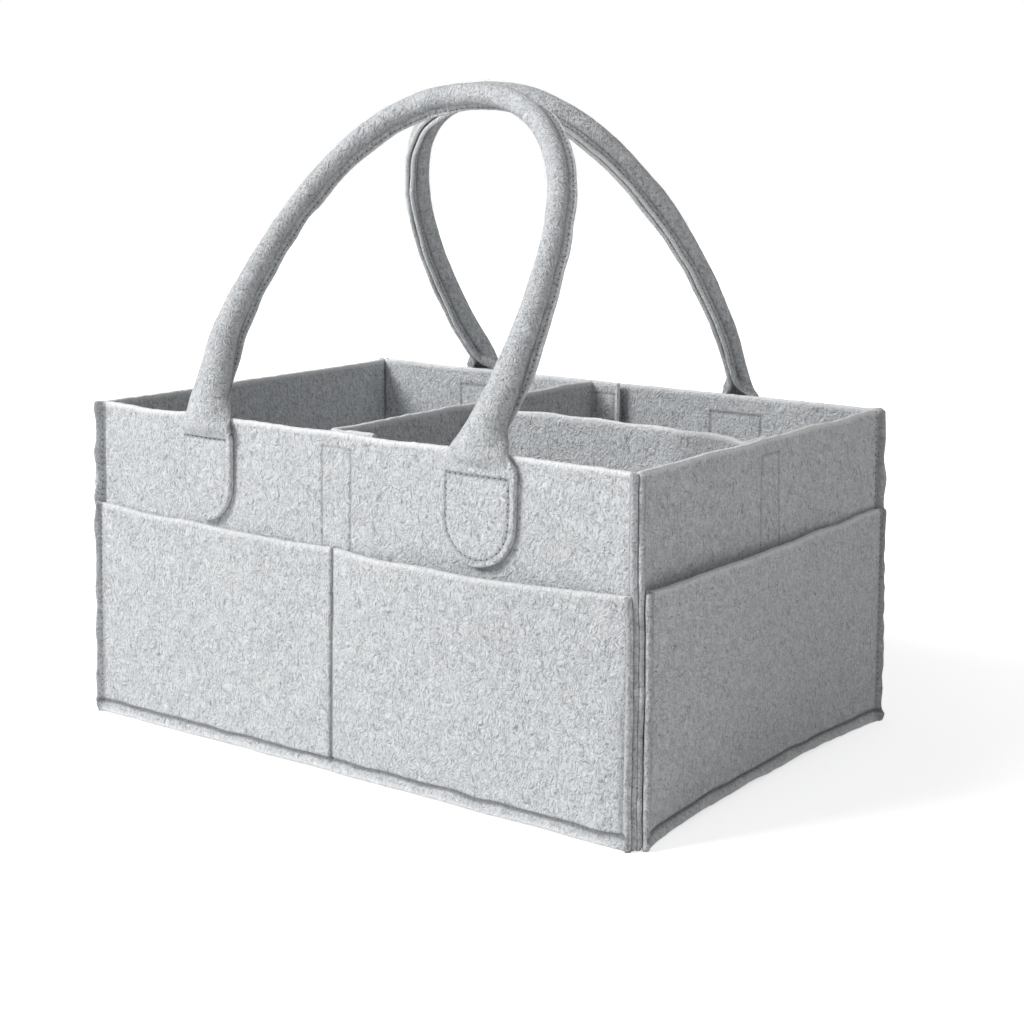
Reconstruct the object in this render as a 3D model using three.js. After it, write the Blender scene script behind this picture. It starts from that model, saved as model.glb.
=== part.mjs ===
// Felt caddy: an open box of sewn felt with outside pockets, two lift-out dividers
// and a pair of rolled carrying handles that lean together over the middle.
// Millimetres, +Z up. The long side runs along X, the front faces -Y, the box stands on z = 0.

import * as THREE from 'three';

// Felt and tape
const feltThickness = 3;
const tapeThickness = 1.5; // hook tape and loop tape
const feltGap = 0.3; // air between neighbouring pieces

// Box, over the outer wall faces at the rim
const boxLength = 330;
const boxWidth = 230;
const boxHeight = 166;
const baseSplay = 4; // how much further out each wall stands at the ground
const cornerFinDepth = 7; // seam allowance of a corner, from the inner corner to the raw edge
const cornerFinRounding = 2.6; // how much of it the rounded lower end gives away
const middleOffset = -2.8; // the sewn middle of the long sides, with the front handle
const bottomSeamHeight = 6; // the walls run on below the sewn bottom
const bottomSeamFlare = 1.5;
const bottomCornerRadius = 4;

// Pockets
const pocketHeight = 114;
const pocketDip = 1.5; // the mouth hangs this much lower between its ends
const longPocketBow = 5.8; // how far a mouth stands off the wall
const endPocketBow = 7;
const bowExponent = 1.5; // the bow grows slowly from the ground to the mouth

// Hook and loop tapes on the walls and on the dividers
const tapeWidth = 20;
const tapeBelowRim = 7.5;
const tapeAboveBottom = 4;

// Dividers
const crossAboveRim = 1; // the cross divider pokes out a little, the half divider is level
const crossOffset = 1.7; // it is pressed on a little to the right of the tapes' middle
const crossDividerBow = 1;
const halfDividerBow = 5;
const dividerFlap = 20;

// Handles: heights run along the felt, from the rim up
const backHandleOffset = -7; // the back handle is sewn on further left than the front one
const footSpacing = 171;
const widestSpacing = 178.5;
const widestHeight = 47;
const handleHeight = 191;
const archExponent = 2.2; // a little fuller than an ellipse
const tubeRadius = 7.2;
const tubeFinHeight = 4.8; // the two raw edges sewn together along the tube
const footBendRadius = 24;
const rollStart = -6; // the strip starts to curl just below the rim
const rollEnd = 24;
const coreInset = 6; // the cord inside stops this far above the closed roll

// Tabs sewn flat on the wall
const tabDepth = 52; // below the rim
const hingeBelowRim = 9; // the handle bends along this line

const feltColour = 0xc6c9cc;
const tapeColour = 0xb4b7ba;
const cordColour = 0xe6e4de;

const halfTurn = Math.PI;
const quarterTurn = Math.PI / 2;
const diagonal = Math.SQRT2;

// Shared places
const wallAngle = Math.atan(baseSplay / boxHeight);
const bottomTop = bottomSeamHeight + feltThickness / 2;
const bottomUnderside = bottomTop - feltThickness;
const dividerBottom = bottomTop + feltGap;
const tapeStack = 2 * tapeThickness + 3 * feltGap; // from a felt face to the felt face it holds

// How far a wall stands out at a height, beyond its place at the rim
function spread(height) {
  const lean = baseSplay * (1 - height / boxHeight);
  const flare = bottomSeamFlare * Math.max(0, 1 - height / bottomSeamHeight);
  return lean + flare;
}

// Half the clear size of the box between two inner faces at a height
function innerHalf(size, height) {
  return size / 2 - feltThickness + spread(height);
}

// Closed body between two faces of a sheet: rows of columns of [inner, outer] points
function sheetSolid(rows) {
  const across = rows[0].length;
  const topRow = rows.length - 1;
  const at = (row, column, face) => 2 * (row * across + column) + face;
  const end = across - 1;
  const index = [];
  const quad = (a, b, c, d) => index.push(a, b, c, a, c, d);
  for (let row = 0; row < topRow; row++) {
    for (let column = 0; column < end; column++) {
      quad(at(row, column, 1), at(row, column + 1, 1), at(row + 1, column + 1, 1), at(row + 1, column, 1));
      quad(at(row, column, 0), at(row + 1, column, 0), at(row + 1, column + 1, 0), at(row, column + 1, 0));
    }
    quad(at(row, 0, 0), at(row, 0, 1), at(row + 1, 0, 1), at(row + 1, 0, 0));
    quad(at(row, end, 1), at(row, end, 0), at(row + 1, end, 0), at(row + 1, end, 1));
  }
  for (let column = 0; column < end; column++) {
    quad(at(0, column, 0), at(0, column + 1, 0), at(0, column + 1, 1), at(0, column, 1));
    quad(at(topRow, column, 1), at(topRow, column + 1, 1), at(topRow, column + 1, 0), at(topRow, column, 0));
  }
  return bodyOf(rows.flat(2), index);
}

// Closed body through rings of equal counts, each end closed by a fan
function loftSolid(rings) {
  const count = rings[0].length;
  const lastRing = (rings.length - 1) * count;
  const index = [];
  for (let start = 0; start < lastRing; start += count) {
    for (let i = 0; i < count; i++) {
      const next = (i + 1) % count;
      index.push(start + i, start + next, start + next + count);
      index.push(start + i, start + next + count, start + i + count);
    }
  }
  for (let i = 1; i < count - 1; i++) {
    index.push(0, i + 1, i);
    index.push(lastRing, lastRing + i, lastRing + i + 1);
  }
  return bodyOf(rings.flat(), index);
}

function bodyOf(points, index) {
  const geometry = new THREE.BufferGeometry().setFromPoints(points);
  geometry.setIndex(index);
  geometry.computeVertexNormals();
  return geometry;
}

// Both faces of a strip whose middle follows a line in a plane, mitred at each bend
function bothFaces(line, thickness) {
  return line.map((point, i) => {
    const before = line[Math.max(i - 1, 0)];
    const after = line[Math.min(i + 1, line.length - 1)];
    const into = new THREE.Vector2().subVectors(i > 0 ? point : after, before).normalize();
    const out = new THREE.Vector2().subVectors(after, after === point ? before : point).normalize();
    const along = new THREE.Vector2().addVectors(into, out).normalize();
    const reach = thickness / 2 / along.dot(out);
    const normal = new THREE.Vector2(-along.y, along.x).multiplyScalar(reach);
    return [point.clone().add(normal), point.clone().sub(normal)];
  });
}

function piece(name, geometry, colour, roughness = 0.95) {
  const material = new THREE.MeshStandardMaterial({ color: colour, roughness, metalness: 0 });
  const mesh = new THREE.Mesh(geometry, material);
  mesh.name = name;
  return mesh;
}

// Walls and pockets are layers of one kind. In a side's own frame the side runs along X and
// faces -Y. At each end the felt turns out by half a right angle into the corner's fin.
function layerFaces(layer, halfAlong, halfOut, height, shares, bowAt) {
  const rounding = cornerFinRounding * Math.max(0, 1 - height / bottomSeamHeight);
  const finDepth = cornerFinDepth - rounding;
  return [0, 1].map((outer) => {
    const out = layer * (feltThickness + feltGap) + outer * feltThickness;
    const beside = feltGap / 2 + layer * (feltThickness + feltGap) + outer * feltThickness;
    const bend = halfAlong + out - diagonal * beside;
    const tip = halfAlong + (finDepth - beside) / diagonal;
    const tipOut = (finDepth + beside) / diagonal;
    const panel = shares.map((share) => [bend * share, out + bowAt(share)]);
    const line = [[-tip, tipOut], ...panel, [tip, tipOut]];
    return line.map(([x, y]) => [x, -halfOut - y]);
  });
}

function layerSolid(side, layer, heightShares, topAt, shares, bowAt) {
  const rows = heightShares.map((heightShare) => {
    const level = heightShare * topAt(1);
    const faces = layerFaces(
      layer, innerHalf(side.along, level), innerHalf(side.across, level), level, shares,
      (share) => bowAt(share) * heightShare ** bowExponent,
    );
    return faces[0].map((inner, column) => [inner, faces[1][column]].map(([x, y]) => {
      const share = THREE.MathUtils.clamp(x / innerHalf(side.along, level), -1, 1);
      return new THREE.Vector3(x, y, heightShare * topAt(share));
    }));
  });
  return sheetSolid(rows);
}

function evenShares(steps, from = -1, to = 1) {
  return Array.from({ length: steps + 1 }, (_, i) => from + (to - from) * i / steps);
}

function wall(side) {
  const seamShare = bottomSeamHeight / boxHeight;
  const levels = [0, seamShare / 2, seamShare, 1];
  return layerSolid(side, 0, levels, () => boxHeight, [-1, 1], () => 0);
}

// A pocket's mouth dips between its ends and bows out once for each compartment between seams
function pocket(side) {
  const seamShare = bottomSeamHeight / pocketHeight;
  const levels = [0, seamShare / 2, seamShare, ...evenShares(6, seamShare, 1).slice(1)];
  const mouthAt = (share) => pocketHeight - pocketDip * (1 - share * share);
  const ends = [-1, ...side.seamShares, 1];
  const panels = ends.slice(1).map((to, i) => [ends[i], to]);
  const bowAt = (share) => {
    const [from, to] = panels.find((panel) => share <= panel[1]);
    return side.bow * Math.sin(halfTurn * (share - from) / (to - from));
  };
  const steps = side.panelSteps / panels.length;
  const shares = [-1, ...panels.flatMap(([from, to]) => evenShares(steps, from, to).slice(1))];
  return layerSolid(side, 1, levels, mouthAt, shares, bowAt);
}

// Bottom panel: a plate whose edge is turned down inside the walls and sewn through them
function bottomPanel() {
  const ring = (height, inset) => {
    const halfLength = innerHalf(boxLength, height) - feltGap - inset;
    const halfWidth = innerHalf(boxWidth, height) - feltGap - inset;
    const radius = bottomCornerRadius - inset;
    const outline = new THREE.Shape();
    const corners = [[1, 1], [-1, 1], [-1, -1], [1, -1]];
    corners.forEach(([x, y], i) => {
      const middle = [x * (halfLength - radius), y * (halfWidth - radius)];
      outline.absarc(...middle, radius, i * quarterTurn, (i + 1) * quarterTurn, false);
    });
    return outline.getPoints(3).slice(0, -1).map(({ x, y }) => new THREE.Vector3(x, y, height));
  };
  return loftSolid([
    ring(bottomUnderside, feltThickness),
    ring(0, feltThickness),
    ring(0, 0),
    ring(bottomSeamHeight, 0),
    ring(bottomTop, 0),
  ]);
}

// Tape sewn on the inner face of a side, leaning with the wall
function wallTape(side) {
  const bottom = bottomTop + tapeAboveBottom;
  const top = boxHeight - tapeBelowRim;
  const rows = [bottom, top].map((height) => [-1, 1].map((end) => [1, 0].map((inner) => {
    const out = innerHalf(side.across, height) - feltGap - inner * tapeThickness;
    return new THREE.Vector3(side.middle + end * tapeWidth / 2, -out, height);
  })));
  return sheetSolid(rows);
}

// Tape standing upright on a divider, its back at a place along X, facing +X or -X
function uprightTape(back, facing) {
  const bottom = dividerBottom + tapeAboveBottom;
  const top = boxHeight - tapeBelowRim;
  const tape = new THREE.BoxGeometry(tapeThickness, tapeWidth, top - bottom);
  return tape.translate(back + facing * tapeThickness / 2, 0, (top + bottom) / 2);
}

// Divider: a plan line of felt, raised from the bottom panel to about the rim
function divider(line, top) {
  const faces = bothFaces(line, feltThickness);
  const rows = [dividerBottom, top].map((height) => (
    faces.map((pair) => pair.map(({ x, y }) => new THREE.Vector3(x, y, height)))
  ));
  return sheetSolid(rows);
}

// The cross divider runs from front to back. Its flaps turn towards +X.
const crossEnd = innerHalf(boxWidth, boxHeight) - tapeStack - feltThickness / 2;
const crossPlace = crossOffset - (dividerFlap - feltThickness) / 2;
const crossFace = crossPlace - crossDividerBow + feltThickness / 2;

function crossDivider() {
  const web = evenShares(8).map((share) => (
    new THREE.Vector2(crossPlace - crossDividerBow * (1 - share * share), crossEnd * share)
  ));
  const flapEnd = crossOffset + dividerFlap / 2;
  const line = [new THREE.Vector2(flapEnd, -crossEnd), ...web, new THREE.Vector2(flapEnd, crossEnd)];
  return divider(line.reverse(), boxHeight + crossAboveRim);
}

// The half divider runs from the cross divider to the right wall. Its flaps turn towards +Y,
// centred on their tapes, and the felt between them bows the same way.
const halfStart = crossFace + tapeStack + feltThickness / 2;
const halfEnd = innerHalf(boxLength, boxHeight) - tapeStack - feltThickness / 2;

function halfDivider() {
  const fold = (feltThickness - dividerFlap) / 2;
  const web = evenShares(8, 0, 1).map((share) => {
    const bow = halfDividerBow * Math.sin(halfTurn * share);
    return new THREE.Vector2(halfStart + (halfEnd - halfStart) * share, fold + bow);
  });
  const flapEnds = [halfStart, halfEnd].map((x) => new THREE.Vector2(x, dividerFlap / 2));
  return divider([flapEnds[0], ...web, flapEnds[1]], boxHeight);
}

// The felt of a handle is laid out flat, across and up from the rim, and then bent inwards.
// Depth is measured from its outer face towards the middle of the box.
function bent(tilt, across, rise, depth) {
  const turned = THREE.MathUtils.clamp(rise / footBendRadius, 0, tilt - wallAngle);
  const angle = wallAngle + turned;
  const straight = rise - turned * footBendRadius;
  const start = -boxWidth / 2 - feltGap - feltThickness;
  const centreY = start + footBendRadius * Math.cos(wallAngle);
  const centreZ = boxHeight - footBendRadius * Math.sin(wallAngle);
  const inward = depth - footBendRadius;
  return new THREE.Vector3(
    across,
    centreY + inward * Math.cos(angle) + straight * Math.sin(angle),
    centreZ - inward * Math.sin(angle) + straight * Math.cos(angle),
  );
}

// Roll of the handle felt: an arc of the tube's middle line, then a straight fin edge.
// The tube is centred on the plane of the tabs.
const tubeMiddle = tubeRadius - feltThickness / 2;
const finBeside = (feltThickness + feltGap) / 2;
const rollAngle = halfTurn - Math.asin(finBeside / tubeMiddle);
const rollSteps = 6;
const rollChord = 2 * tubeMiddle * Math.sin(rollAngle / rollSteps / 2);
const stripHalf = rollChord * rollSteps + tubeFinHeight;
const axisDepth = feltThickness / 2;
const finDepthInside = axisDepth + Math.sqrt(tubeMiddle ** 2 - finBeside ** 2) + tubeFinHeight;
const coreRadius = (tubeRadius - feltThickness) * Math.cos(rollAngle / rollSteps / 2) - feltGap;

// One face pair for each point across the strip, from flat felt (0) to a closed roll (1). The
// edges stay in the plane of the tabs while the middle comes out, until the tube is centred on it.
function rolledSection(roll) {
  const half = [new THREE.Vector2(0, 0)];
  for (let step = 0; step <= rollSteps; step++) {
    const onFin = step === rollSteps;
    const angle = roll * (onFin ? quarterTurn : rollAngle * (step + 1 / 2) / rollSteps);
    const length = onFin ? tubeFinHeight : rollChord;
    const next = half.at(-1).clone();
    half.push(next.add(new THREE.Vector2(Math.cos(angle), Math.sin(angle)).multiplyScalar(length)));
  }
  const edgeDepth = Math.max(...half.map(({ y }) => y));
  const start = axisDepth - Math.min(edgeDepth, tubeMiddle);
  half.forEach((point) => point.setY(point.y + start));
  const other = half.slice(1).reverse().map(({ x, y }) => new THREE.Vector2(-x, y));
  return bothFaces([...other, ...half], feltThickness);
}

// Middle line of a handle, laid flat: legs that ease outwards, then the arch
class HandleLine extends THREE.Curve {
  getPoint(t, target = new THREE.Vector2()) {
    const side = t < 1 / 2 ? -1 : 1;
    const climb = 1 - Math.abs(2 * t - 1);
    const legShare = 1 / 4;
    if (climb < legShare) {
      const rise = -hingeBelowRim + (widestHeight + hingeBelowRim) * climb / legShare;
      const ease = (1 - Math.cos(halfTurn * Math.max(rise, 0) / widestHeight)) / 2;
      return target.set(side * (footSpacing + (widestSpacing - footSpacing) * ease) / 2, rise);
    }
    const angle = quarterTurn * (climb - legShare) / (1 - legShare);
    const across = side * widestSpacing / 2 * Math.cos(angle) ** (2 / archExponent);
    const rise = (handleHeight - widestHeight) * Math.sin(angle) ** (2 / archExponent);
    return target.set(across, widestHeight + rise);
  }
}

// Places along the line: close together where the felt rolls up, wider round the arch
function handleStations(line) {
  const length = line.getLength();
  const foot = hingeBelowRim + rollEnd;
  const footStations = evenShares(11, feltGap / 2, foot);
  const archSteps = 34;
  const arch = evenShares(archSteps, foot, length - foot).slice(1, -1);
  return [...footStations, ...arch, ...footStations.map((place) => length - place).reverse()]
    .map((place) => {
      const point = line.getPointAt(place / length);
      const tangent = line.getTangentAt(place / length);
      return { point, tangent, fromFoot: Math.min(place, length - place) - hingeBelowRim };
    });
}

// Each handle leans in until the two fins of the pair all but meet over the middle
function meetingTilt() {
  const finTop = handleHeight + finBeside + feltThickness / 2;
  let low = 0;
  let high = quarterTurn;
  for (let step = 0; step < 40; step++) {
    const tilt = (low + high) / 2;
    const reach = bent(tilt, 0, finTop, finDepthInside).y;
    if (reach < -feltGap) low = tilt;
    else high = tilt;
  }
  return low;
}

function handleGrip(tilt, stations) {
  const rows = stations.map(({ point, tangent, fromFoot }) => {
    const roll = THREE.MathUtils.smoothstep(fromFoot, rollStart, rollEnd);
    return rolledSection(roll).map((pair) => pair.map(({ x, y }) => (
      bent(tilt, point.x + x * tangent.y, point.y - x * tangent.x, y)
    )));
  });
  return sheetSolid(rows);
}

function handleCore(tilt, stations) {
  const inside = stations.filter(({ fromFoot }) => fromFoot >= rollEnd + coreInset);
  const middles = inside.map(({ point }) => bent(tilt, point.x, point.y, axisDepth));
  const section = new THREE.Shape().absarc(0, 0, coreRadius, 0, 2 * halfTurn, false);
  return new THREE.ExtrudeGeometry(section, {
    steps: middles.length - 1,
    curveSegments: 5,
    bevelEnabled: false,
    extrudePath: new THREE.CatmullRomCurve3(middles, false, 'centripetal'),
  });
}

// U-shaped tab, flat on the wall below the bend line
function handleTab() {
  const radius = stripHalf;
  const outline = new THREE.Shape();
  outline.moveTo(radius, -hingeBelowRim - feltGap / 2);
  outline.lineTo(-radius, -hingeBelowRim - feltGap / 2);
  outline.absarc(0, radius - tabDepth, radius, halfTurn, 2 * halfTurn, false);
  const sheet = { depth: feltThickness, curveSegments: 14, bevelEnabled: false };
  const tab = new THREE.ExtrudeGeometry(outline, sheet);
  return tab.rotateX(quarterTurn - wallAngle);
}

// A pair of tabs and the handle between them, in the frame of the side that carries them
function handle(name, side, tilt) {
  const group = new THREE.Group();
  const line = new HandleLine();
  const stations = handleStations(line);
  for (const [label, end] of [['left', -1], ['right', 1]]) {
    const tab = piece(`${name}_handle_${label}_tab`, handleTab(), feltColour);
    tab.position.set(end * footSpacing / 2, -boxWidth / 2 - feltGap, boxHeight);
    group.add(tab);
  }
  group.add(piece(`${name}_handle_grip`, handleGrip(tilt, stations), feltColour));
  group.add(piece(`${name}_handle_core`, handleCore(tilt, stations), cordColour, 0.8));
  group.position.x = side.handleMiddle;
  return group;
}

// Each side in its own frame: a pocket is sewn down at its seam shares
const longSide = { along: boxLength, across: boxWidth, bow: longPocketBow, panelSteps: 20 };
const front = {
  ...longSide,
  seamShares: [middleOffset / (boxLength / 2)],
  middle: middleOffset,
  handleMiddle: middleOffset,
};
const back = {
  ...longSide,
  seamShares: front.seamShares.map((share) => -share),
  middle: -middleOffset,
  handleMiddle: -backHandleOffset,
};
const endSide = {
  along: boxWidth,
  across: boxLength,
  bow: endPocketBow,
  panelSteps: 12,
  seamShares: [],
  middle: 0,
};
const sides = [
  { name: 'front', side: front, turns: 0, tape: true, handle: true },
  { name: 'right', side: endSide, turns: 1, tape: true },
  { name: 'back', side: back, turns: 2, tape: true, handle: true },
  { name: 'left', side: endSide, turns: 3 },
];

const caddy = new THREE.Group();
const tilt = meetingTilt();
for (const { name, side, turns, tape, handle: hasHandle } of sides) {
  const group = new THREE.Group();
  group.rotation.z = turns * quarterTurn;
  group.add(piece(`${name}_wall`, wall(side), feltColour));
  group.add(piece(`${name}_pocket`, pocket(side), feltColour));
  if (tape) group.add(piece(`${name}_wall_loop_tape`, wallTape(side), tapeColour));
  if (hasHandle) group.add(handle(name, side, tilt));
  caddy.add(group);
}
caddy.add(piece('bottom_panel', bottomPanel(), feltColour));

caddy.add(piece('cross_divider', crossDivider(), feltColour));
for (const [name, end] of [['front', -1], ['back', 1]]) {
  const tape = uprightTape(crossEnd + feltThickness / 2 + feltGap, 1);
  const mesh = piece(`cross_divider_${name}_hook_tape`, tape, tapeColour);
  mesh.rotation.z = end * quarterTurn;
  mesh.position.x = crossOffset;
  caddy.add(mesh);
}
caddy.add(piece('cross_divider_loop_tape', uprightTape(crossFace + feltGap, 1), tapeColour));

caddy.add(piece('half_divider', halfDivider(), feltColour));
const halfStartTape = uprightTape(halfStart - feltThickness / 2 - feltGap, -1);
const halfEndTape = uprightTape(halfEnd + feltThickness / 2 + feltGap, 1);
caddy.add(piece('half_divider_inner_hook_tape', halfStartTape, tapeColour));
caddy.add(piece('half_divider_outer_hook_tape', halfEndTape, tapeColour));

export default caddy;
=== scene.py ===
import math
import bmesh
import bpy
import numpy as np
from mathutils import Matrix, Vector


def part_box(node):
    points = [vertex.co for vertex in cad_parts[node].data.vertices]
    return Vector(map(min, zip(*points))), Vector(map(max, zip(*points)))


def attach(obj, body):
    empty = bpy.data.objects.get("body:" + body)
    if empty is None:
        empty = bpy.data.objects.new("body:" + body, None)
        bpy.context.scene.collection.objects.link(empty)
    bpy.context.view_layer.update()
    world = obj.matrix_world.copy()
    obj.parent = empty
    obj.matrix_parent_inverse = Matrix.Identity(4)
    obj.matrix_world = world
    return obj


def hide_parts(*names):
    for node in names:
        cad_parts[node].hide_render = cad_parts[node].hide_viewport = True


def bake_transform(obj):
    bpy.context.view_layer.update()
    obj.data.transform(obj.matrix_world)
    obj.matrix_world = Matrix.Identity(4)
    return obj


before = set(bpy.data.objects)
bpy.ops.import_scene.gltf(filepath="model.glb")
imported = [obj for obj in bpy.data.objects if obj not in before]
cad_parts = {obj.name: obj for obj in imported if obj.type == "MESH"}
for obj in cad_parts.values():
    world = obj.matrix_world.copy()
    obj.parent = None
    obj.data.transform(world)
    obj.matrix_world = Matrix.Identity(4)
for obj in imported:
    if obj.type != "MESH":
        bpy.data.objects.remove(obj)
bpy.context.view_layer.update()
print("packed model loaded")

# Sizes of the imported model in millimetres: the felt pieces below are laid over its solids
caddy = {
    "felt": 3.0, "tape": 1.5, "gap": 0.3,
    "length": 330.0, "width": 230.0, "height": 166.0, "splay": 4.0,
    "finDepth": 7.0, "seamHeight": 6.0, "seamFlare": 1.5, "bowExponent": 1.5,
}
wallAngle = math.atan(caddy["splay"] / caddy["height"])
metre = 0.001  # one millimetre in the scene's metres


# Camera

cameraSetup = {
    "azimuth": 36.77, "elevation": 12.78, "roll": 0.27,
    "distance": 1004.9, "targetHeight": 90.0,
    "lens": 67.37, "shiftX": 0.0246, "shiftY": 0.0358,
}


def makeCamera(setup):
    azimuth, elevation = math.radians(setup["azimuth"]), math.radians(setup["elevation"])
    level = math.cos(elevation)
    back = Vector((math.sin(azimuth) * level, -math.cos(azimuth) * level, math.sin(elevation)))
    right = Vector((math.cos(azimuth), math.sin(azimuth), 0))
    turn = Matrix.Rotation(math.radians(setup["roll"]), 3, back)
    right = turn @ right
    up = back.cross(right)
    data = bpy.data.cameras.new("camera")
    data.lens = setup["lens"]
    data.sensor_width = 36
    data.shift_x = setup["shiftX"]
    data.shift_y = setup["shiftY"]
    data.clip_start = 0.01
    cameraObject = bpy.data.objects.new("camera", data)
    bpy.context.scene.collection.objects.link(cameraObject)
    place = Vector((0, 0, setup["targetHeight"] * metre)) + back * setup["distance"] * metre
    axes = Matrix((right, up, back)).transposed().to_4x4()
    cameraObject.matrix_world = Matrix.Translation(place) @ axes
    bpy.context.scene.camera = cameraObject


makeCamera(cameraSetup)
print("camera placed")


# Materials

def newMaterial(name):
    material = bpy.data.materials.new(name)
    material.use_nodes = True
    nodes = material.node_tree.nodes
    return material, nodes, material.node_tree.links, nodes["Principled BSDF"]


def noiseNode(nodes, links, coordinates, scale, detail=2.0, stretch=None, turn=(0, 0, 0)):
    texture = nodes.new("ShaderNodeTexNoise")
    texture.inputs["Scale"].default_value = scale
    texture.inputs["Detail"].default_value = detail
    mapping = nodes.new("ShaderNodeMapping")
    mapping.vector_type = "TEXTURE"
    mapping.inputs["Rotation"].default_value = turn
    mapping.inputs["Scale"].default_value = stretch or (1, 1, 1)
    links.new(coordinates, mapping.inputs["Vector"])
    links.new(mapping.outputs["Vector"], texture.inputs["Vector"])
    return texture.outputs["Fac"]


def rampNode(nodes, links, source, stops):
    ramp = nodes.new("ShaderNodeValToRGB")
    links.new(source, ramp.inputs["Fac"])
    while len(ramp.color_ramp.elements) < len(stops):
        ramp.color_ramp.elements.new(0.5)
    for element, (place, shade) in zip(ramp.color_ramp.elements, stops):
        element.position = place
        element.color = (*shade, 1) if isinstance(shade, tuple) else (shade, shade, shade, 1)
    return ramp.outputs["Color"]


def mixNode(nodes, links, kind, factor, first, second):
    mix = nodes.new("ShaderNodeMix")
    mix.data_type = "RGBA"
    mix.blend_type = kind
    for socket, value in ((mix.inputs[0], factor), (mix.inputs[6], first), (mix.inputs[7], second)):
        if isinstance(value, bpy.types.NodeSocket):
            links.new(value, socket)
        else:
            socket.default_value = value
    return mix.outputs[2]


feltLook = {
    "light": (0.700, 0.720, 0.739), "shade": (0.612, 0.632, 0.654), "warm": (0.670, 0.683, 0.696),
    # The edge colour is a painted highlight along the cut edges and tops
    "darkFibreAndShade": (0.150, 0.157, 0.169), "lightFibre": (0.86, 0.88, 0.90), "edge": (0.97, 0.98, 0.99),
    "patchScale": 50.0, "patchRange": (0.36, 0.66), "cloudScale": 210.0, "cloudRange": (0.38, 0.64),
    "grainScale": 1500.0, "grainTint": (0.86, 1.10), "bendScale": 160.0, "bendReach": 0.006,
    "fibreScale": 640.0, "fibreScaleStep": 0.13, "fibreStretch": 6.5,
    "darkRange": (0.645, 0.72), "darkShare": 0.40, "lightRange": (0.29, 0.375), "lightShare": 0.40,
    "flossScale": 1150.0, "flossStretch": 7.0, "flossRange": (0.34, 0.66), "flossTint": (0.89, 1.09),
    # The dark fibre colour above also serves as painted shade in creases; the first two shares on the next
    # line give the painted highlight and the painted shade at full strength
    "edgeHighlightShare": 0.94, "creaseShadeShare": 0.72, "roughness": 0.96, "specular": 0.18,
    "sheen": 0.35, "sheenRoughness": 0.55, "bumpStrength": 0.9, "bumpDistance": 0.00045,
}
# How each set of fibres is turned in the felt
fibreTurns = [
    (0.2, 0.1, 0.5), (0.4, 0.9, 2.1), (1.2, 0.3, 1.2), (0.7, 1.6, 0.3), (1.9, 0.8, 2.7), (1.5, 1.4, 1.7),
]
flossTurns = [(0.9, 0.4, 0.8), (0.1, 1.3, 2.4), (1.7, 0.2, 1.6)]


def attributeNode(nodes, name):
    node = nodes.new("ShaderNodeAttribute")
    node.attribute_name = name
    return node.outputs["Fac"]


def bentCoordinates(nodes, links, place, scale, reach):  # fibres curl because their coordinates do
    texture = nodes.new("ShaderNodeTexNoise")
    texture.inputs["Scale"].default_value = scale
    texture.inputs["Detail"].default_value = 1
    links.new(place, texture.inputs["Vector"])
    shift = nodes.new("ShaderNodeVectorMath")
    shift.operation = "MULTIPLY_ADD"
    links.new(texture.outputs["Color"], shift.inputs[0])
    shift.inputs[1].default_value = (reach,) * 3
    links.new(place, shift.inputs[2])
    return shift.outputs[0]


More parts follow.
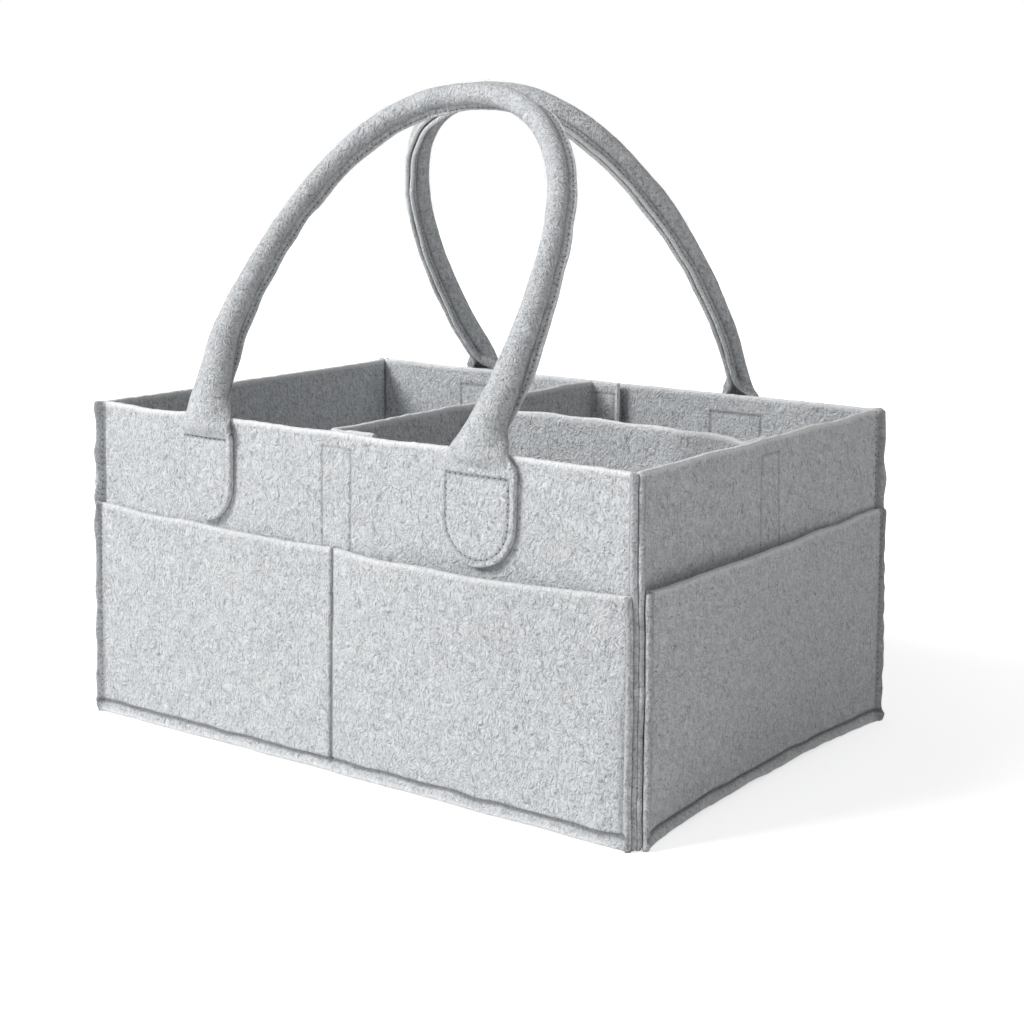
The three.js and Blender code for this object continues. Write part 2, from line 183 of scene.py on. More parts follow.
def feltMaterial(name, look):
    material, nodes, links, shader = newMaterial(name)
    place = nodes.new("ShaderNodeTexCoord").outputs["Object"]
    patches = noiseNode(nodes, links, place, look["patchScale"], 3)
    clouds = noiseNode(nodes, links, place, look["cloudScale"], 4)
    grain = noiseNode(nodes, links, place, look["grainScale"], 3)
    patchFactor = rampNode(nodes, links, patches, list(zip(look["patchRange"], (0.0, 1.0))))
    cloudFactor = rampNode(nodes, links, clouds, list(zip(look["cloudRange"], (0.0, 1.0))))
    base = mixNode(nodes, links, "MIX", patchFactor, (*look["light"], 1), (*look["warm"], 1))
    base = mixNode(nodes, links, "MIX", cloudFactor, base, (*look["shade"], 1))
    grainTint = rampNode(nodes, links, grain, list(zip((0.30, 0.70), look["grainTint"])))
    base = mixNode(nodes, links, "MULTIPLY", 1.0, base, grainTint)
    bentPlace = bentCoordinates(nodes, links, place, look["bendScale"], look["bendReach"])
    total = grain
    for turn in flossTurns:
        floss = noiseNode(nodes, links, bentPlace, look["flossScale"], 1, (look["flossStretch"], 1, 1), turn)
        tint = rampNode(nodes, links, floss, list(zip(look["flossRange"], look["flossTint"])))
        base = mixNode(nodes, links, "MULTIPLY", 1.0, base, tint)
    for index, turn in enumerate(fibreTurns):
        scale = look["fibreScale"] * (1 + look["fibreScaleStep"] * index)
        fibre = noiseNode(nodes, links, bentPlace, scale, 1, (look["fibreStretch"], 1, 1), turn)
        dark = rampNode(nodes, links, fibre, list(zip(look["darkRange"], (0.0, look["darkShare"]))))
        light = rampNode(nodes, links, fibre, list(zip(look["lightRange"], (look["lightShare"], 0.0))))
        base = mixNode(nodes, links, "MIX", dark, base, (*look["darkFibreAndShade"], 1))
        base = mixNode(nodes, links, "MIX", light, base, (*look["lightFibre"], 1))
        add = nodes.new("ShaderNodeMath")
        add.operation = "ADD"
        links.new(total, add.inputs[0])
        links.new(fibre, add.inputs[1])
        total = add.outputs[0]
    # Painted highlight on the cut edges and tops, then painted shade in creases and grooves
    rim = rampNode(nodes, links, attributeNode(nodes, "rim"), [(0.05, 0.0), (1.0, look["edgeHighlightShare"])])
    base = mixNode(nodes, links, "MIX", rim, base, (*look["edge"], 1))
    creaseShade = rampNode(nodes, links, attributeNode(nodes, "creaseShade"), [(0.0, 0.0), (1.0, look["creaseShadeShare"])])
    base = mixNode(nodes, links, "MIX", creaseShade, base, (*look["darkFibreAndShade"], 1))
    bump = nodes.new("ShaderNodeBump")
    bump.inputs["Strength"].default_value = look["bumpStrength"]
    bump.inputs["Distance"].default_value = look["bumpDistance"]
    links.new(total, bump.inputs["Height"])
    links.new(bump.outputs["Normal"], shader.inputs["Normal"])
    links.new(base, shader.inputs["Base Color"])
    shader.inputs["Roughness"].default_value = look["roughness"]
    shader.inputs["Specular IOR Level"].default_value = look["specular"]
    shader.inputs["Sheen Weight"].default_value = look["sheen"]
    shader.inputs["Sheen Roughness"].default_value = look["sheenRoughness"]
    return material


yarnFinish = {"stretch": (1, 3, 1), "turn": (0.6, 0.6, 0.6), "bumpDistance": 0.0001, "roughness": 0.7}
# The darkest colour here is painted shade for the needle holes beside the stitches
threadLook = {
    "colour": (0.56, 0.575, 0.595), "ply": (0.40, 0.412, 0.43), "hole": (0.09, 0.092, 0.10),
    "twistScale": 900.0,
}
fibreColours = {"colour": (0.80, 0.81, 0.82), "ply": (0.45, 0.46, 0.475), "twistScale": 220.0}
cordLook = {"colour": (0.80, 0.78, 0.74), "ply": (0.62, 0.60, 0.56), "twistScale": 300.0}


def threadMaterial(name, look):
    material, nodes, links, shader = newMaterial(name)
    place = nodes.new("ShaderNodeTexCoord").outputs["Object"]
    finish = yarnFinish
    twist = noiseNode(nodes, links, place, look["twistScale"], 2, finish["stretch"], finish["turn"])
    factor = rampNode(nodes, links, twist, [(0.40, 0.0), (0.60, 1.0)])
    colour = mixNode(nodes, links, "MIX", factor, (*look["colour"], 1), (*look["ply"], 1))
    if "hole" in look:  # painted shade for the needle holes beside the stitches
        colour = mixNode(nodes, links, "MIX", attributeNode(nodes, "hole"), colour, (*look["hole"], 1))
    links.new(colour, shader.inputs["Base Color"])
    bump = nodes.new("ShaderNodeBump")
    bump.inputs["Distance"].default_value = finish["bumpDistance"]
    links.new(twist, bump.inputs["Height"])
    links.new(bump.outputs["Normal"], shader.inputs["Normal"])
    shader.inputs["Roughness"].default_value = finish["roughness"]
    return material


# Where a value has two numbers, the first is the hook face's and the second the fuzzy loop face's
tapeLook = {
    "warp": (0.50, 0.515, 0.535), "weft": (0.40, 0.412, 0.43), "fibreScale": 780.0, "bandScale": 195.0,
    "distortion": (0.3, 1.2), "tint": (0.72, 1.12), "bumpDistance": 0.0004, "roughness": 0.85,
    "sheen": (0.1, 0.4),
}


def tapeMaterial(name, look, fuzzy):
    material, nodes, links, shader = newMaterial(name)
    place = nodes.new("ShaderNodeTexCoord").outputs["Object"]
    wave = nodes.new("ShaderNodeTexWave")
    wave.wave_type = "BANDS"
    wave.bands_direction = "Z"
    wave.inputs["Scale"].default_value = look["bandScale"]
    wave.inputs["Distortion"].default_value = look["distortion"][fuzzy]
    wave.inputs["Detail"].default_value = 2
    links.new(place, wave.inputs["Vector"])
    fibre = noiseNode(nodes, links, place, look["fibreScale"], 3)
    factor = rampNode(nodes, links, wave.outputs["Fac"], [(0.3, 0.0), (0.7, 1.0)])
    colour = mixNode(nodes, links, "MIX", factor, (*look["warp"], 1), (*look["weft"], 1))
    tint = rampNode(nodes, links, fibre, list(zip((0.3, 0.7), look["tint"])))
    colour = mixNode(nodes, links, "MULTIPLY", 1.0, colour, tint)
    links.new(colour, shader.inputs["Base Color"])
    bump = nodes.new("ShaderNodeBump")
    bump.inputs["Distance"].default_value = look["bumpDistance"]
    links.new(fibre if fuzzy else wave.outputs["Fac"], bump.inputs["Height"])
    links.new(bump.outputs["Normal"], shader.inputs["Normal"])
    shader.inputs["Roughness"].default_value = look["roughness"]
    shader.inputs["Sheen Weight"].default_value = look["sheen"][fuzzy]
    return material


felt = feltMaterial("heatheredFelt", feltLook)
thread = threadMaterial("sewingThread", threadLook)
loopFace = tapeMaterial("loopTape", tapeLook, True)
hookFace = tapeMaterial("hookTape", tapeLook, False)
fibre = threadMaterial("looseFibre", fibreColours)
cordYarn = threadMaterial("handleCord", cordLook)
print("materials made")


# Sheets of felt: a middle surface in millimetres, given as rows of columns, gets two faces that
# close on each other round its raw edges

edgeSteps = (0.0, 0.05, 0.22, 0.5, 0.95)  # columns that round a raw edge, from the edge inwards
markSteps = (-2.4, -1.6, -1.0, -0.55, -0.25, 0.0, 0.25, 0.55, 1.0, 1.6, 2.4)  # and those across a groove
sheetLook = {
    "rimHighlightWidth": 1.9, "fullCrease": 0.9,  # how far in the painted highlight on a cut edge reaches, and the groove depth that gets the full painted shade
    "closingPower": 2.5, "clearOfEdge": 1.3, "clearOfMark": 3.0, "sharpAngle": 50.0,
}
rippleLook = {"waves": 7, "paces": (0.55, 1.5), "level": 3.2}


def ticks(low, high, spacing, marks=(), edges=(True, True), dense=()):  # where columns or rows lie
    clear = sheetLook["clearOfEdge"]
    places = list(np.linspace(low, high, max(2, round((high - low) / spacing) + 1)))
    for start, end, step in dense:
        places = [place for place in places if not start < place < end] + list(np.arange(start, end, step))
    for mark in marks:
        places = [place for place in places if abs(place - mark) > sheetLook["clearOfMark"]]
    for mark in marks:
        places += [mark + step for step in markSteps if low < mark + step < high]
    if edges[0]:
        places = [place for place in places if place - low > clear] + [low + step for step in edgeSteps]
    if edges[1]:
        places = [place for place in places if high - place > clear] + [high - step for step in edgeSteps]
    return np.unique(np.round(places, 3))


def ripple(x, y, scale, seed):  # uneven waves of about this length, mostly between -1 and 1
    random = np.random.default_rng(seed)
    total = np.zeros(np.broadcast(x, y).shape)
    for wave in range(rippleLook["waves"]):
        angle, phase = random.uniform(0, 2 * math.pi, 2)
        pace = 2 * math.pi / scale * random.uniform(*rippleLook["paces"])
        total = total + np.sin(pace * (x * math.cos(angle) + y * math.sin(angle)) + phase)
    return total / rippleLook["level"]


def smoothStep(value, low, high):
    share = np.clip((value - low) / (high - low), 0, 1)
    return share * share * (3 - 2 * share)


def grooveDepth(distance, depth, width):
    return depth * np.exp(-(distance / width) ** 2)


def unit(vectors):
    return vectors / np.maximum(np.linalg.norm(vectors, axis=-1, keepdims=True), 1e-9)


def runLength(points):  # how far along a line each of its points is
    return np.concatenate([[0], np.linalg.norm(np.diff(points, axis=0), axis=1).cumsum()])


def borderDistance(middle):
    across = np.linalg.norm(np.diff(middle, axis=1), axis=2).cumsum(1)
    across = np.concatenate([np.zeros((len(middle), 1)), across], 1)
    up = np.linalg.norm(np.diff(middle, axis=0), axis=2).cumsum(0)
    up = np.concatenate([np.zeros((1, middle.shape[1])), up], 0)
    return np.minimum.reduce([across, across[:, -1:] - across, up, up[-1:] - up])


def newPiece(name, points, quads, material, marks):
    mesh = bpy.data.meshes.new(name)
    mesh.from_pydata((np.asarray(points) * metre).tolist(), [], np.asarray(quads).tolist())
    for label, values in marks.items():
        mesh.attributes.new(label, "FLOAT", "POINT").data.foreach_set("value", values.astype("f"))
    work = bmesh.new()
    work.from_mesh(mesh)
    bmesh.ops.remove_doubles(work, verts=work.verts, dist=1e-6)
    bmesh.ops.dissolve_degenerate(work, edges=work.edges, dist=1e-7)
    bmesh.ops.recalc_face_normals(work, faces=work.faces)
    work.to_mesh(mesh)
    work.free()
    mesh.shade_smooth()
    mesh.set_sharp_from_angle(angle=math.radians(sheetLook["sharpAngle"]))
    mesh.materials.append(material)
    piece = bpy.data.objects.new(name, mesh)
    bpy.context.scene.collection.objects.link(piece)
    return piece


def feltSheet(name, middle, material, thickness=caddy["felt"], outerGroove=0, innerGroove=0,
              edge=edgeSteps[-1], distance=None, rimHighlightShare=1.0, shade=0):
    distance = borderDistance(middle) if distance is None else distance
    power = sheetLook["closingPower"]
    closing = (1 - (1 - np.clip(distance / edge, 0, 1)) ** power) ** (1 / power)
    outerGroove, innerGroove = outerGroove + 0 * distance, innerGroove + 0 * distance
    half = thickness / 2 * closing
    normal = unit(np.cross(np.gradient(middle, axis=1), np.gradient(middle, axis=0)))
    outer = middle + normal * (half - outerGroove * closing)[..., None]
    inner = middle - normal * (half - innerGroove * closing)[..., None]
    for face in (outer, inner):
        face[..., 2] = np.maximum(face[..., 2], 0)  # the edges stand on the ground, not in it
    rows, columns = middle.shape[:2]
    outerIndex = np.arange(rows * columns).reshape(rows, columns)
    innerIndex = outerIndex.copy()
    inside = np.arange((rows - 2) * (columns - 2)).reshape(rows - 2, columns - 2)
    innerIndex[1:-1, 1:-1] = rows * columns + inside
    points = np.concatenate([outer.reshape(-1, 3), inner[1:-1, 1:-1].reshape(-1, 3)])
    quads = []
    for index, order in ((outerIndex, 1), (innerIndex, -1)):
        corners = np.stack([index[:-1, :-1], index[:-1, 1:], index[1:, 1:], index[1:, :-1]], -1)
        quads.append(corners.reshape(-1, 4)[:, ::order])
    # Painted highlight along the cut edges and tops, and painted shade in the grooves and wherever shade is
    # given
    rim = np.exp(-(distance / sheetLook["rimHighlightWidth"]) ** 3) * rimHighlightShare
    outerShade = outerGroove / sheetLook["fullCrease"] + shade
    innerShade = innerGroove / sheetLook["fullCrease"]
    marks = {
        "rim": np.concatenate([rim.ravel(), rim[1:-1, 1:-1].ravel()]),
        "creaseShade": np.concatenate([outerShade.ravel(), innerShade[1:-1, 1:-1].ravel()]),
    }
    piece = newPiece(name, points, np.concatenate(quads), material, marks)
    return {"piece": piece, "outer": outer, "inner": inner, "normal": normal}


def insideCell(grid, r, c, s, t):  # a place in one cell of a grid, by its shares of the way across and up
    low = grid[r, c] * (1 - s) + grid[r, c + 1] * s
    high = grid[r + 1, c] * (1 - s) + grid[r + 1, c + 1] * s
    return low * (1 - t) + high * t


def onSheet(sheet, columnPlace, rowPlace, lift, face):  # places over a face, and which way each one faces
    columns = np.interp(columnPlace, sheet["x"], np.arange(len(sheet["x"])))
    rows = np.interp(rowPlace, sheet["heights"], np.arange(len(sheet["heights"])))
    c = np.minimum(np.floor(columns).astype(int), len(sheet["x"]) - 2)
    r = np.minimum(np.floor(rows).astype(int), len(sheet["heights"]) - 2)
    s, t = (columns - c)[..., None], (rows - r)[..., None]
    normal = unit(insideCell(sheet["normal"], r, c, s, t)) * (1 if face == "outer" else -1)
    return insideCell(sheet[face], r, c, s, t) + normal * lift, normal


# Stitch rows are gathered here for each body while its felt is made, and sewn further down
seams = {"box": [], "front_handle": [], "back_handle": [], "cross_divider": [], "half_divider": []}
sheets = {name: [] for name in seams}


def sewRow(body, sheet, across, up, face="outer", depth=0.35):
    across, up = np.broadcast_arrays(np.asarray(across, float), np.asarray(up, float))
    seams[body].append(onSheet(sheet, across, up, -depth, face))


def line(start, end, step=1.5):
    return np.linspace(start, end, max(2, round(abs(end - start) / step) + 1))


def roundedOff(fromEnd, radius):  # how far a rounded corner has drawn back at a distance from its end
    rest = np.clip(1 - fromEnd / radius, 0, 1)
    return radius * (1 - np.sqrt(1 - rest ** 2))


# The four sides. In its own frame a side runs along x and faces -y; "out" is measured from the
# inner face, and each end turns into the corner's fin. Bows go from the side's left to its right.
# Middle is where its tape or its middle row sits and tabs where its handle is centred. Mouth is its
# pocket's height and dip how far that sinks; tuck and lift draw its foot in and up.

sides = {
    "front": {
        "turns": 0, "along": "length", "across": "width", "middle": -2.8, "tabs": -2.8, "tape": True,
        "bows": (0.7, 7.0), "bowSkew": 1.0, "mouth": 113.2, "dip": 2.5, "tuck": 0.0, "lift": 0.5,
        "leanEnd": 1, "finGap": (0.15, 0.15),
    },
    "right": {
        "turns": 1, "along": "width", "across": "length", "middle": 0.0, "tabs": None, "tape": True,
        "bows": (4.2,), "bowSkew": 0.42, "mouth": 115.0, "dip": 0.0, "tuck": 4.2, "lift": 1.3,
        "leanEnd": -1, "finGap": (0.45, 0.15),
    },
    "back": {
        "turns": 2, "along": "length", "across": "width", "middle": 2.8, "tabs": 7.0, "tape": True,
        "bows": (4.6, 2.4), "bowSkew": 0.9, "mouth": 113.6, "dip": 2.0, "tuck": 0.0, "lift": 0.5,
        "leanEnd": 0, "finGap": (0.15, 0.2),
    },
    "left": {
        "turns": 3, "along": "width", "across": "length", "middle": 0.0, "tabs": None, "tape": False,
        "bows": (5.0,), "bowSkew": 0.8, "mouth": 114.2, "dip": 1.0, "tuck": 3.6, "lift": 1.2,
        "leanEnd": 0, "finGap": (0.2, 0.15),
    },
}
sideLook = {
    "spacing": 3.0, "bendRadius": 2.3, "rimWave": 0.35, "rimWaveScale": 60.0,
    "panelWave": 0.5, "panelWaveScale": 70.0, "panelWaveOver": (8, 60),
    "smallWave": 0.12, "smallWaveScale": 17.0,
    "finTop": 1.2, "finFoot": 4.5, "pressedFin": 2.35, "pressedBelow": (106.0, 120.0),
    "cornerLean": 0.8, "leanBelow": (98.0, 130.0),
    "planeGap": 0.15, "planePressed": 0.1, "pressed": (0.12, 0.2),
    "ragged": 0.5, "raggedScale": 14.0, "finSway": 0.3, "swayScale": 26.0,
    "finWave": 0.06, "finWaveScale": 9.0,
    "wallBack": 1.1, "wallBackTo": (104.0, 116.0), "straightAt": (138.0, 60.0),
    # The next line paints shade at and along the corner fins and scales the painted highlight on the edges of
    # fins and pockets
    "finPaintedShade": 0.3, "rootShade": 0.9, "rootWidth": 1.3, "finRimHighlight": 0.08, "pocketRimHighlight": 0.6,
    "seamGroove": 1.3, "seamWidth": 1.1, "seamWave": 0.5, "seamWaveScale": 30.0,
    "centreGroove": 1.15, "centreWidth": 1.15,
    "tapeGroove": 0.45, "tapeGrooveWidth": 0.75, "tuckHeight": 46.0, "tuckPower": 2.6,
    "tapeStitch": 8.85, "tapeStitchTop": 158.5, "tapeStitchFoot": 14.0,
    "edgeWave": 0.13, "edgeWaveScale": 9.0, "footWave": 0.35, "footWaveScale": 34.0, "footWaveTo": 8.0,
    "liftTo": 24.0, "seamSunk": 0.5, "finSunk": 0.2, "finStitch": 1.6,
}
tabLook = {
    "spacing": 171.0, "topStitch": 155.6, "foot": 117.6, "groove": 0.6, "width": 0.95,
    "closeReach": 20.0, "closeRows": (114, 160), "closeSpacing": 1.6,
}

# The feet of the handles as seen from their own side. Shift is how far a tab's row in the wall is moved
# sideways, width narrows the tab, sewn is how deep its own row is pulled in, and radius is the tube's over
# it. The strip has rolled up by rolls at rises over the rim. Sways are rises and how far the leg moves there.
feet = {
    "front": {
        "left": {
            "shift": 2.4, "sewn": 0.4, "width": 0.82, "radius": 7.0,
            "rises": (-9, 0, 11, 19, 38, 60), "rolls": (0, 0.34, 0.55, 0.66, 0.84, 1),
            "sways": ((0, 15, 50, 170, 235), (2.4, 1.2, -2.7, -3.2, 0)),
        },
        "right": {
            "shift": 0.0, "sewn": 1.1, "width": 1.0, "radius": 7.0,
            "rises": (-6, 0, 8.4, 16, 38, 60), "rolls": (0, 0.2, 0.48, 0.72, 0.84, 1),
            "sways": ((0, 40, 95, 145, 200, 235), (0, -1.8, -1.4, 1.4, 0.6, 0)),
        },
    },
    "back": {
        "left": {
            "shift": -4.0, "sewn": 0.8, "width": 0.88, "radius": 5.3,
            "rises": (-6, 0, 6, 13, 24, 40), "rolls": (0, 0.28, 0.6, 0.88, 1, 1),
            "sways": ((0, 60, 120, 160, 235), (-4.0, -2.0, 0.0, 0.8, 0)),
        },
        "right": {
            "shift": -4.0, "sewn": 0.8, "width": 0.88, "radius": 6.3,
            "rises": (-6, 0, 6, 13, 24, 40), "rolls": (0, 0.28, 0.6, 0.88, 1, 1),
            "sways": ((0, 60, 120, 160, 235), (-4.0, -3.2, -1.4, -1.0, 0)),
        },
    },
}
stripReach = 21.2  # from the strip's middle line to its edge, for the rows pressed into the walls
stitchInset = 3.4  # from the strip's edge to the tab's stitches


def spread(height):
    lean = caddy["splay"] * (1 - height / caddy["height"])
    return lean + caddy["seamFlare"] * np.maximum(0, 1 - height / caddy["seamHeight"])


def innerHalf(size, height):
    return caddy[size] / 2 - caddy["felt"] + spread(height)


def turned(points, turns):
    cosine, sine = math.cos(turns * math.pi / 2), math.sin(turns * math.pi / 2)
    return points @ np.array([[cosine, sine, 0], [-sine, cosine, 0], [0, 0, 1]])


def finPlace(layer, level, finGap):  # thickness in the fin, and its middle's distance from the corner's plane
    look = sideLook
    pressed = 1 - smoothStep(level, *look["pressedBelow"])
    wall = caddy["felt"] + (look["pressedFin"] - caddy["felt"]) * pressed
    first = look["planeGap"] - look["planePressed"] * pressed
    if not layer:
        return wall, first + wall / 2
    return caddy["felt"], first + wall + finGap + caddy["felt"] / 2


def layerOut(layer):  # from the wall's inner face to the middle of a layer
    return layer * (caddy["felt"] + caddy["gap"]) + caddy["felt"] / 2


def straightHalf(side, layer, level, finGap):
    fromPlane = math.sqrt(2) * finPlace(layer, level, finGap)[1]
    bend = innerHalf(side["along"], level) + layerOut(layer) - fromPlane
    return bend - sideLook["bendRadius"] * math.tan(math.pi / 8)


def cornerHalf(side, layer, level, end, top):  # in plan, one end's bend and fin beyond the straight part
    look = sideLook
    radius, out, finGap = look["bendRadius"], layerOut(layer), side["finGap"][end]
    seed = 20 * side["turns"]
    raw = look["ragged"] * ripple(level, 0.0, look["raggedScale"], 400 + seed + 2 * layer + end)
    raw -= 0 if layer else look["wallBack"] * (1 - smoothStep(level, *look["wallBackTo"]))
    rounded = roundedOff(level, look["finFoot"]) + roundedOff(top - level, look["finTop"])
    finDepth = caddy["finDepth"] + raw - rounded
    sway = look["finSway"] * ripple(level, 0.0, look["swayScale"], 500 + seed + 20 * end)
    beside = finPlace(layer, level, finGap)[1] - look["pressed"][layer]
    beside += look["finWave"] * ripple(level, 0.0, look["finWaveScale"], 600 + 3 * end + layer)
    straight = straightHalf(side, layer, level, finGap)
    finLength = finDepth - (out * math.sqrt(2) - beside) - radius * math.tan(math.pi / 8)
    angles = np.linspace(0, math.pi / 4, 6)[1:]
    arc = np.stack([straight + radius * np.sin(angles), out + radius * (1 - np.cos(angles))], 1)
    steps = np.array([finLength * 0.3, finLength * 0.6] + [finLength - step for step in reversed(edgeSteps)])
    fin = arc[-1] + steps[:, None] * np.array([1, 1]) / math.sqrt(2)
    aside = np.array([1, -1]) * (1 if end else -1) / math.sqrt(2)
    return straight, np.concatenate([arc, fin + sway * (steps / finLength)[:, None] * aside])


def sideSurface(side, layer, places, heights, top):
    rows = []
    for level in heights:
        leftHalf, left = cornerHalf(side, layer, level, 0, top)
        rightHalf, right = cornerHalf(side, layer, level, 1, top)
        scaled = np.where(places < 0, places * leftHalf, places * rightHalf)
        panel = np.stack([scaled, np.full(len(places), layerOut(layer))], 1)
        rows.append(np.concatenate([left[::-1] * np.array([-1, 1]), panel, right]))
    plan = np.array(rows)
    share = np.clip(plan[..., 0] / innerHalf(side["along"], heights)[:, None], -1, 1)
    return plan[..., 0], plan[..., 1], share


def tabOutline(x, height, centre, half):  # distance from the U-shaped stitch row of a tab
    middle = tabLook["foot"] + half
    outside = 9.0  # keeps what lies past the rows' ends out of their groove
    across = np.abs(x - centre)
    fromRound, fromSides = np.abs(np.hypot(across, height - middle) - half), np.abs(across - half)
    around = np.where(height < middle, fromRound, fromSides)
    around = around + outside * (height > tabLook["topStitch"] + 0.5)
    onTop = np.abs(height - tabLook["topStitch"]) + outside * (across > half + 0.5)
    return np.minimum(around, onTop)


def tabRow(centre, half):  # the same stitch row as points along it
    top, middle = tabLook["topStitch"], tabLook["foot"] + half
    angles = np.linspace(0, math.pi, 30)
    sidesDown, sidesUp = line(top, middle), line(middle, top)
    around = np.concatenate([np.full(len(sidesDown), centre - half), centre - half * np.cos(angles),
                             np.full(len(sidesUp), centre + half)])
    up = np.concatenate([sidesDown, middle - half * np.sin(angles), sidesUp])
    across = line(centre - half, centre + half)
    return [(around, up), (across, np.full(len(across), top))]


def sideMarks(name, side, layer):  # its rows beside the tape, its row down the middle, and its handle tabs
    tapeMarks, centreMark, tabs = [], [], []
    if layer and len(side["bows"]) == 2:
        centreMark = [side["middle"]]
    if side["tape"] and not layer:
        tapeMarks = [side["middle"] + end * sideLook["tapeStitch"] for end in (-1, 1)]
    if side["tabs"] is not None and not layer:
        for end, foot in zip((-1, 1), feet[name].values()):
            place = side["tabs"] + end * tabLook["spacing"] / 2 + foot["shift"]
            tabs.append((place, stripReach * foot["width"] - stitchInset))
    return tapeMarks, centreMark, tabs


def sideTicks(side, layer, top, tapeMarks, centreMark, tabs):  # its columns and its rows
    look = sideLook
    marks = tapeMarks + centreMark + [tab + end * tabHalf for tab, tabHalf in tabs for end in (-1, 1)]
    reach, spacing = tabLook["closeReach"], tabLook["closeSpacing"]
    closeColumns = [(tab - reach, tab + reach, spacing) for tab, tabHalf in tabs]
    closeRows = [(*tabLook["closeRows"], spacing)] if tabs else []
    reference = straightHalf(side, layer, look["straightAt"][layer], 0.15)  # columns are shares of this
    places = ticks(-reference, reference, look["spacing"], marks, (False, False), closeColumns)
    heightMarks = [caddy["seamHeight"]]
    if side["tape"] and not layer:
        heightMarks.append(look["tapeStitchTop"])
    if tabs:
        heightMarks.append(tabLook["topStitch"])
    return places / reference, ticks(0, top, look["spacing"], heightMarks, dense=closeRows)


def sideMiddle(side, layer, top, x, out, share, levels, twoBows):  # the layer's middle surface in the caddy
    look = sideLook
    seed = side["turns"] * 10
    inPanel = 1 - np.abs(share) ** 8
    wave = look["panelWave"] * ripple(x, levels, look["panelWaveScale"], seed + 1) * inPanel
    out = out + wave * smoothStep(levels, *look["panelWaveOver"])
    out = out + look["smallWave"] * ripple(x, levels, look["smallWaveScale"], seed + 2) * inPanel
    z = levels.copy()
    if layer:
        between = [side["middle"] / (caddy[side["along"]] / 2)] if twoBows else []
        edges = [-1.0] + between + [1.0]
        bow = 0 * share
        for low, high, reach in zip(edges, edges[1:], side["bows"]):
            within = np.clip((share - low) / (high - low), 0, 1)
            bow = bow + reach * np.sin(math.pi * within ** side["bowSkew"])
        out = out + bow * (levels / top) ** caddy["bowExponent"]
        z = levels * (1 - side["dip"] / top * (1 - share ** 2))
    rimWave = look["rimWave"] * ripple(x, 0 * x, look["rimWaveScale"], seed + 3)
    z = z + rimWave * smoothStep(levels, 0.5 * top, top)
    atEdges = smoothStep(levels, top - 6, top) + smoothStep(-levels, -5, 0)
    z = z + look["edgeWave"] * ripple(x, 0 * x, look["edgeWaveScale"], seed + 4) * atEdges
    inner = 1 - np.abs(share) ** look["tuckPower"]
    out = out - side["tuck"] * inner * smoothStep(-levels, -look["tuckHeight"], 0)
    z = z + side["lift"] * inner * smoothStep(-levels, -look["liftTo"], 0)
    footWave = look["footWave"] * (ripple(x, 0 * x, look["footWaveScale"], seed + 5) + 1)
    z = z + footWave * smoothStep(-levels, -look["footWaveTo"], 0) * (1 - share ** 10)
    halfOut = innerHalf(side["across"], levels[:, :1])
    middle = turned(np.stack([x, -(halfOut + out), z], -1), side["turns"])
    if side["leanEnd"]:
        half = caddy[side["along"]] / 2
        near = smoothStep(x * side["leanEnd"], half - 14, half - 1)
        near = near * (1 - smoothStep(levels, *look["leanBelow"]))
        middle = middle + near[..., None] * look["cornerLean"] * np.array([1, 1, 0])
    return middle


def sideGrooves(side, layer, x, levels, seamLine, tapeMarks, centreMark, tabs):  # outer and inner ones
    look = sideLook
    middleLine = side["middle"]
    groove = grooveDepth(levels - seamLine, look["seamGroove"], look["seamWidth"]) if layer else 0 * x
    innerGroove = 0 * x
    if centreMark:
        centre = grooveDepth(x - middleLine, look["centreGroove"], look["centreWidth"])
        groove = groove + centre * smoothStep(levels, 2, 7)
    if tapeMarks:
        depth, width = look["tapeGroove"], look["tapeGrooveWidth"]
        inColumn = smoothStep(look["tapeStitchTop"] + 0.8 - levels, 0, 1)
        for mark in tapeMarks:
            groove = groove + grooveDepth(x - mark, depth, width) * inColumn
        inRow = smoothStep(look["tapeStitch"] + 0.8 - np.abs(x - middleLine), 0, 1)
        groove = groove + grooveDepth(levels - look["tapeStitchTop"], depth, width) * inRow
    for tab, tabHalf in tabs:
        outline = tabOutline(x, levels, tab, tabHalf)
        innerGroove = np.maximum(innerGroove, grooveDepth(outline, tabLook["groove"], tabLook["width"]))
    return groove, innerGroove


def sewSide(side, layer, sheet, top, half, seamLine, tapeMarks, centreMark, tabs):
    look = sideLook
    if layer:
        along = line(-half, half)
        sewRow("box", sheet, along, np.interp(along, sheet["x"], seamLine[0]), depth=look["seamSunk"])
        if centreMark:
            sewRow("box", sheet, side["middle"], line(7, top - 1.5), depth=look["seamSunk"])
    for mark in tapeMarks:
        sewRow("box", sheet, mark, line(look["tapeStitchFoot"], look["tapeStitchTop"]))
    if tapeMarks:
        sewRow("box", sheet, line(*tapeMarks), look["tapeStitchTop"])
    for tab, tabHalf in tabs:
        for across, up in tabRow(tab, tabHalf):
            sewRow("box", sheet, across, up, "inner")
    for end in (-1, 1):
        fin = end * (half + look["finStitch"])
        sewRow("box", sheet, fin, line(7 if layer else 116, top - 2.5), depth=look["finSunk"])


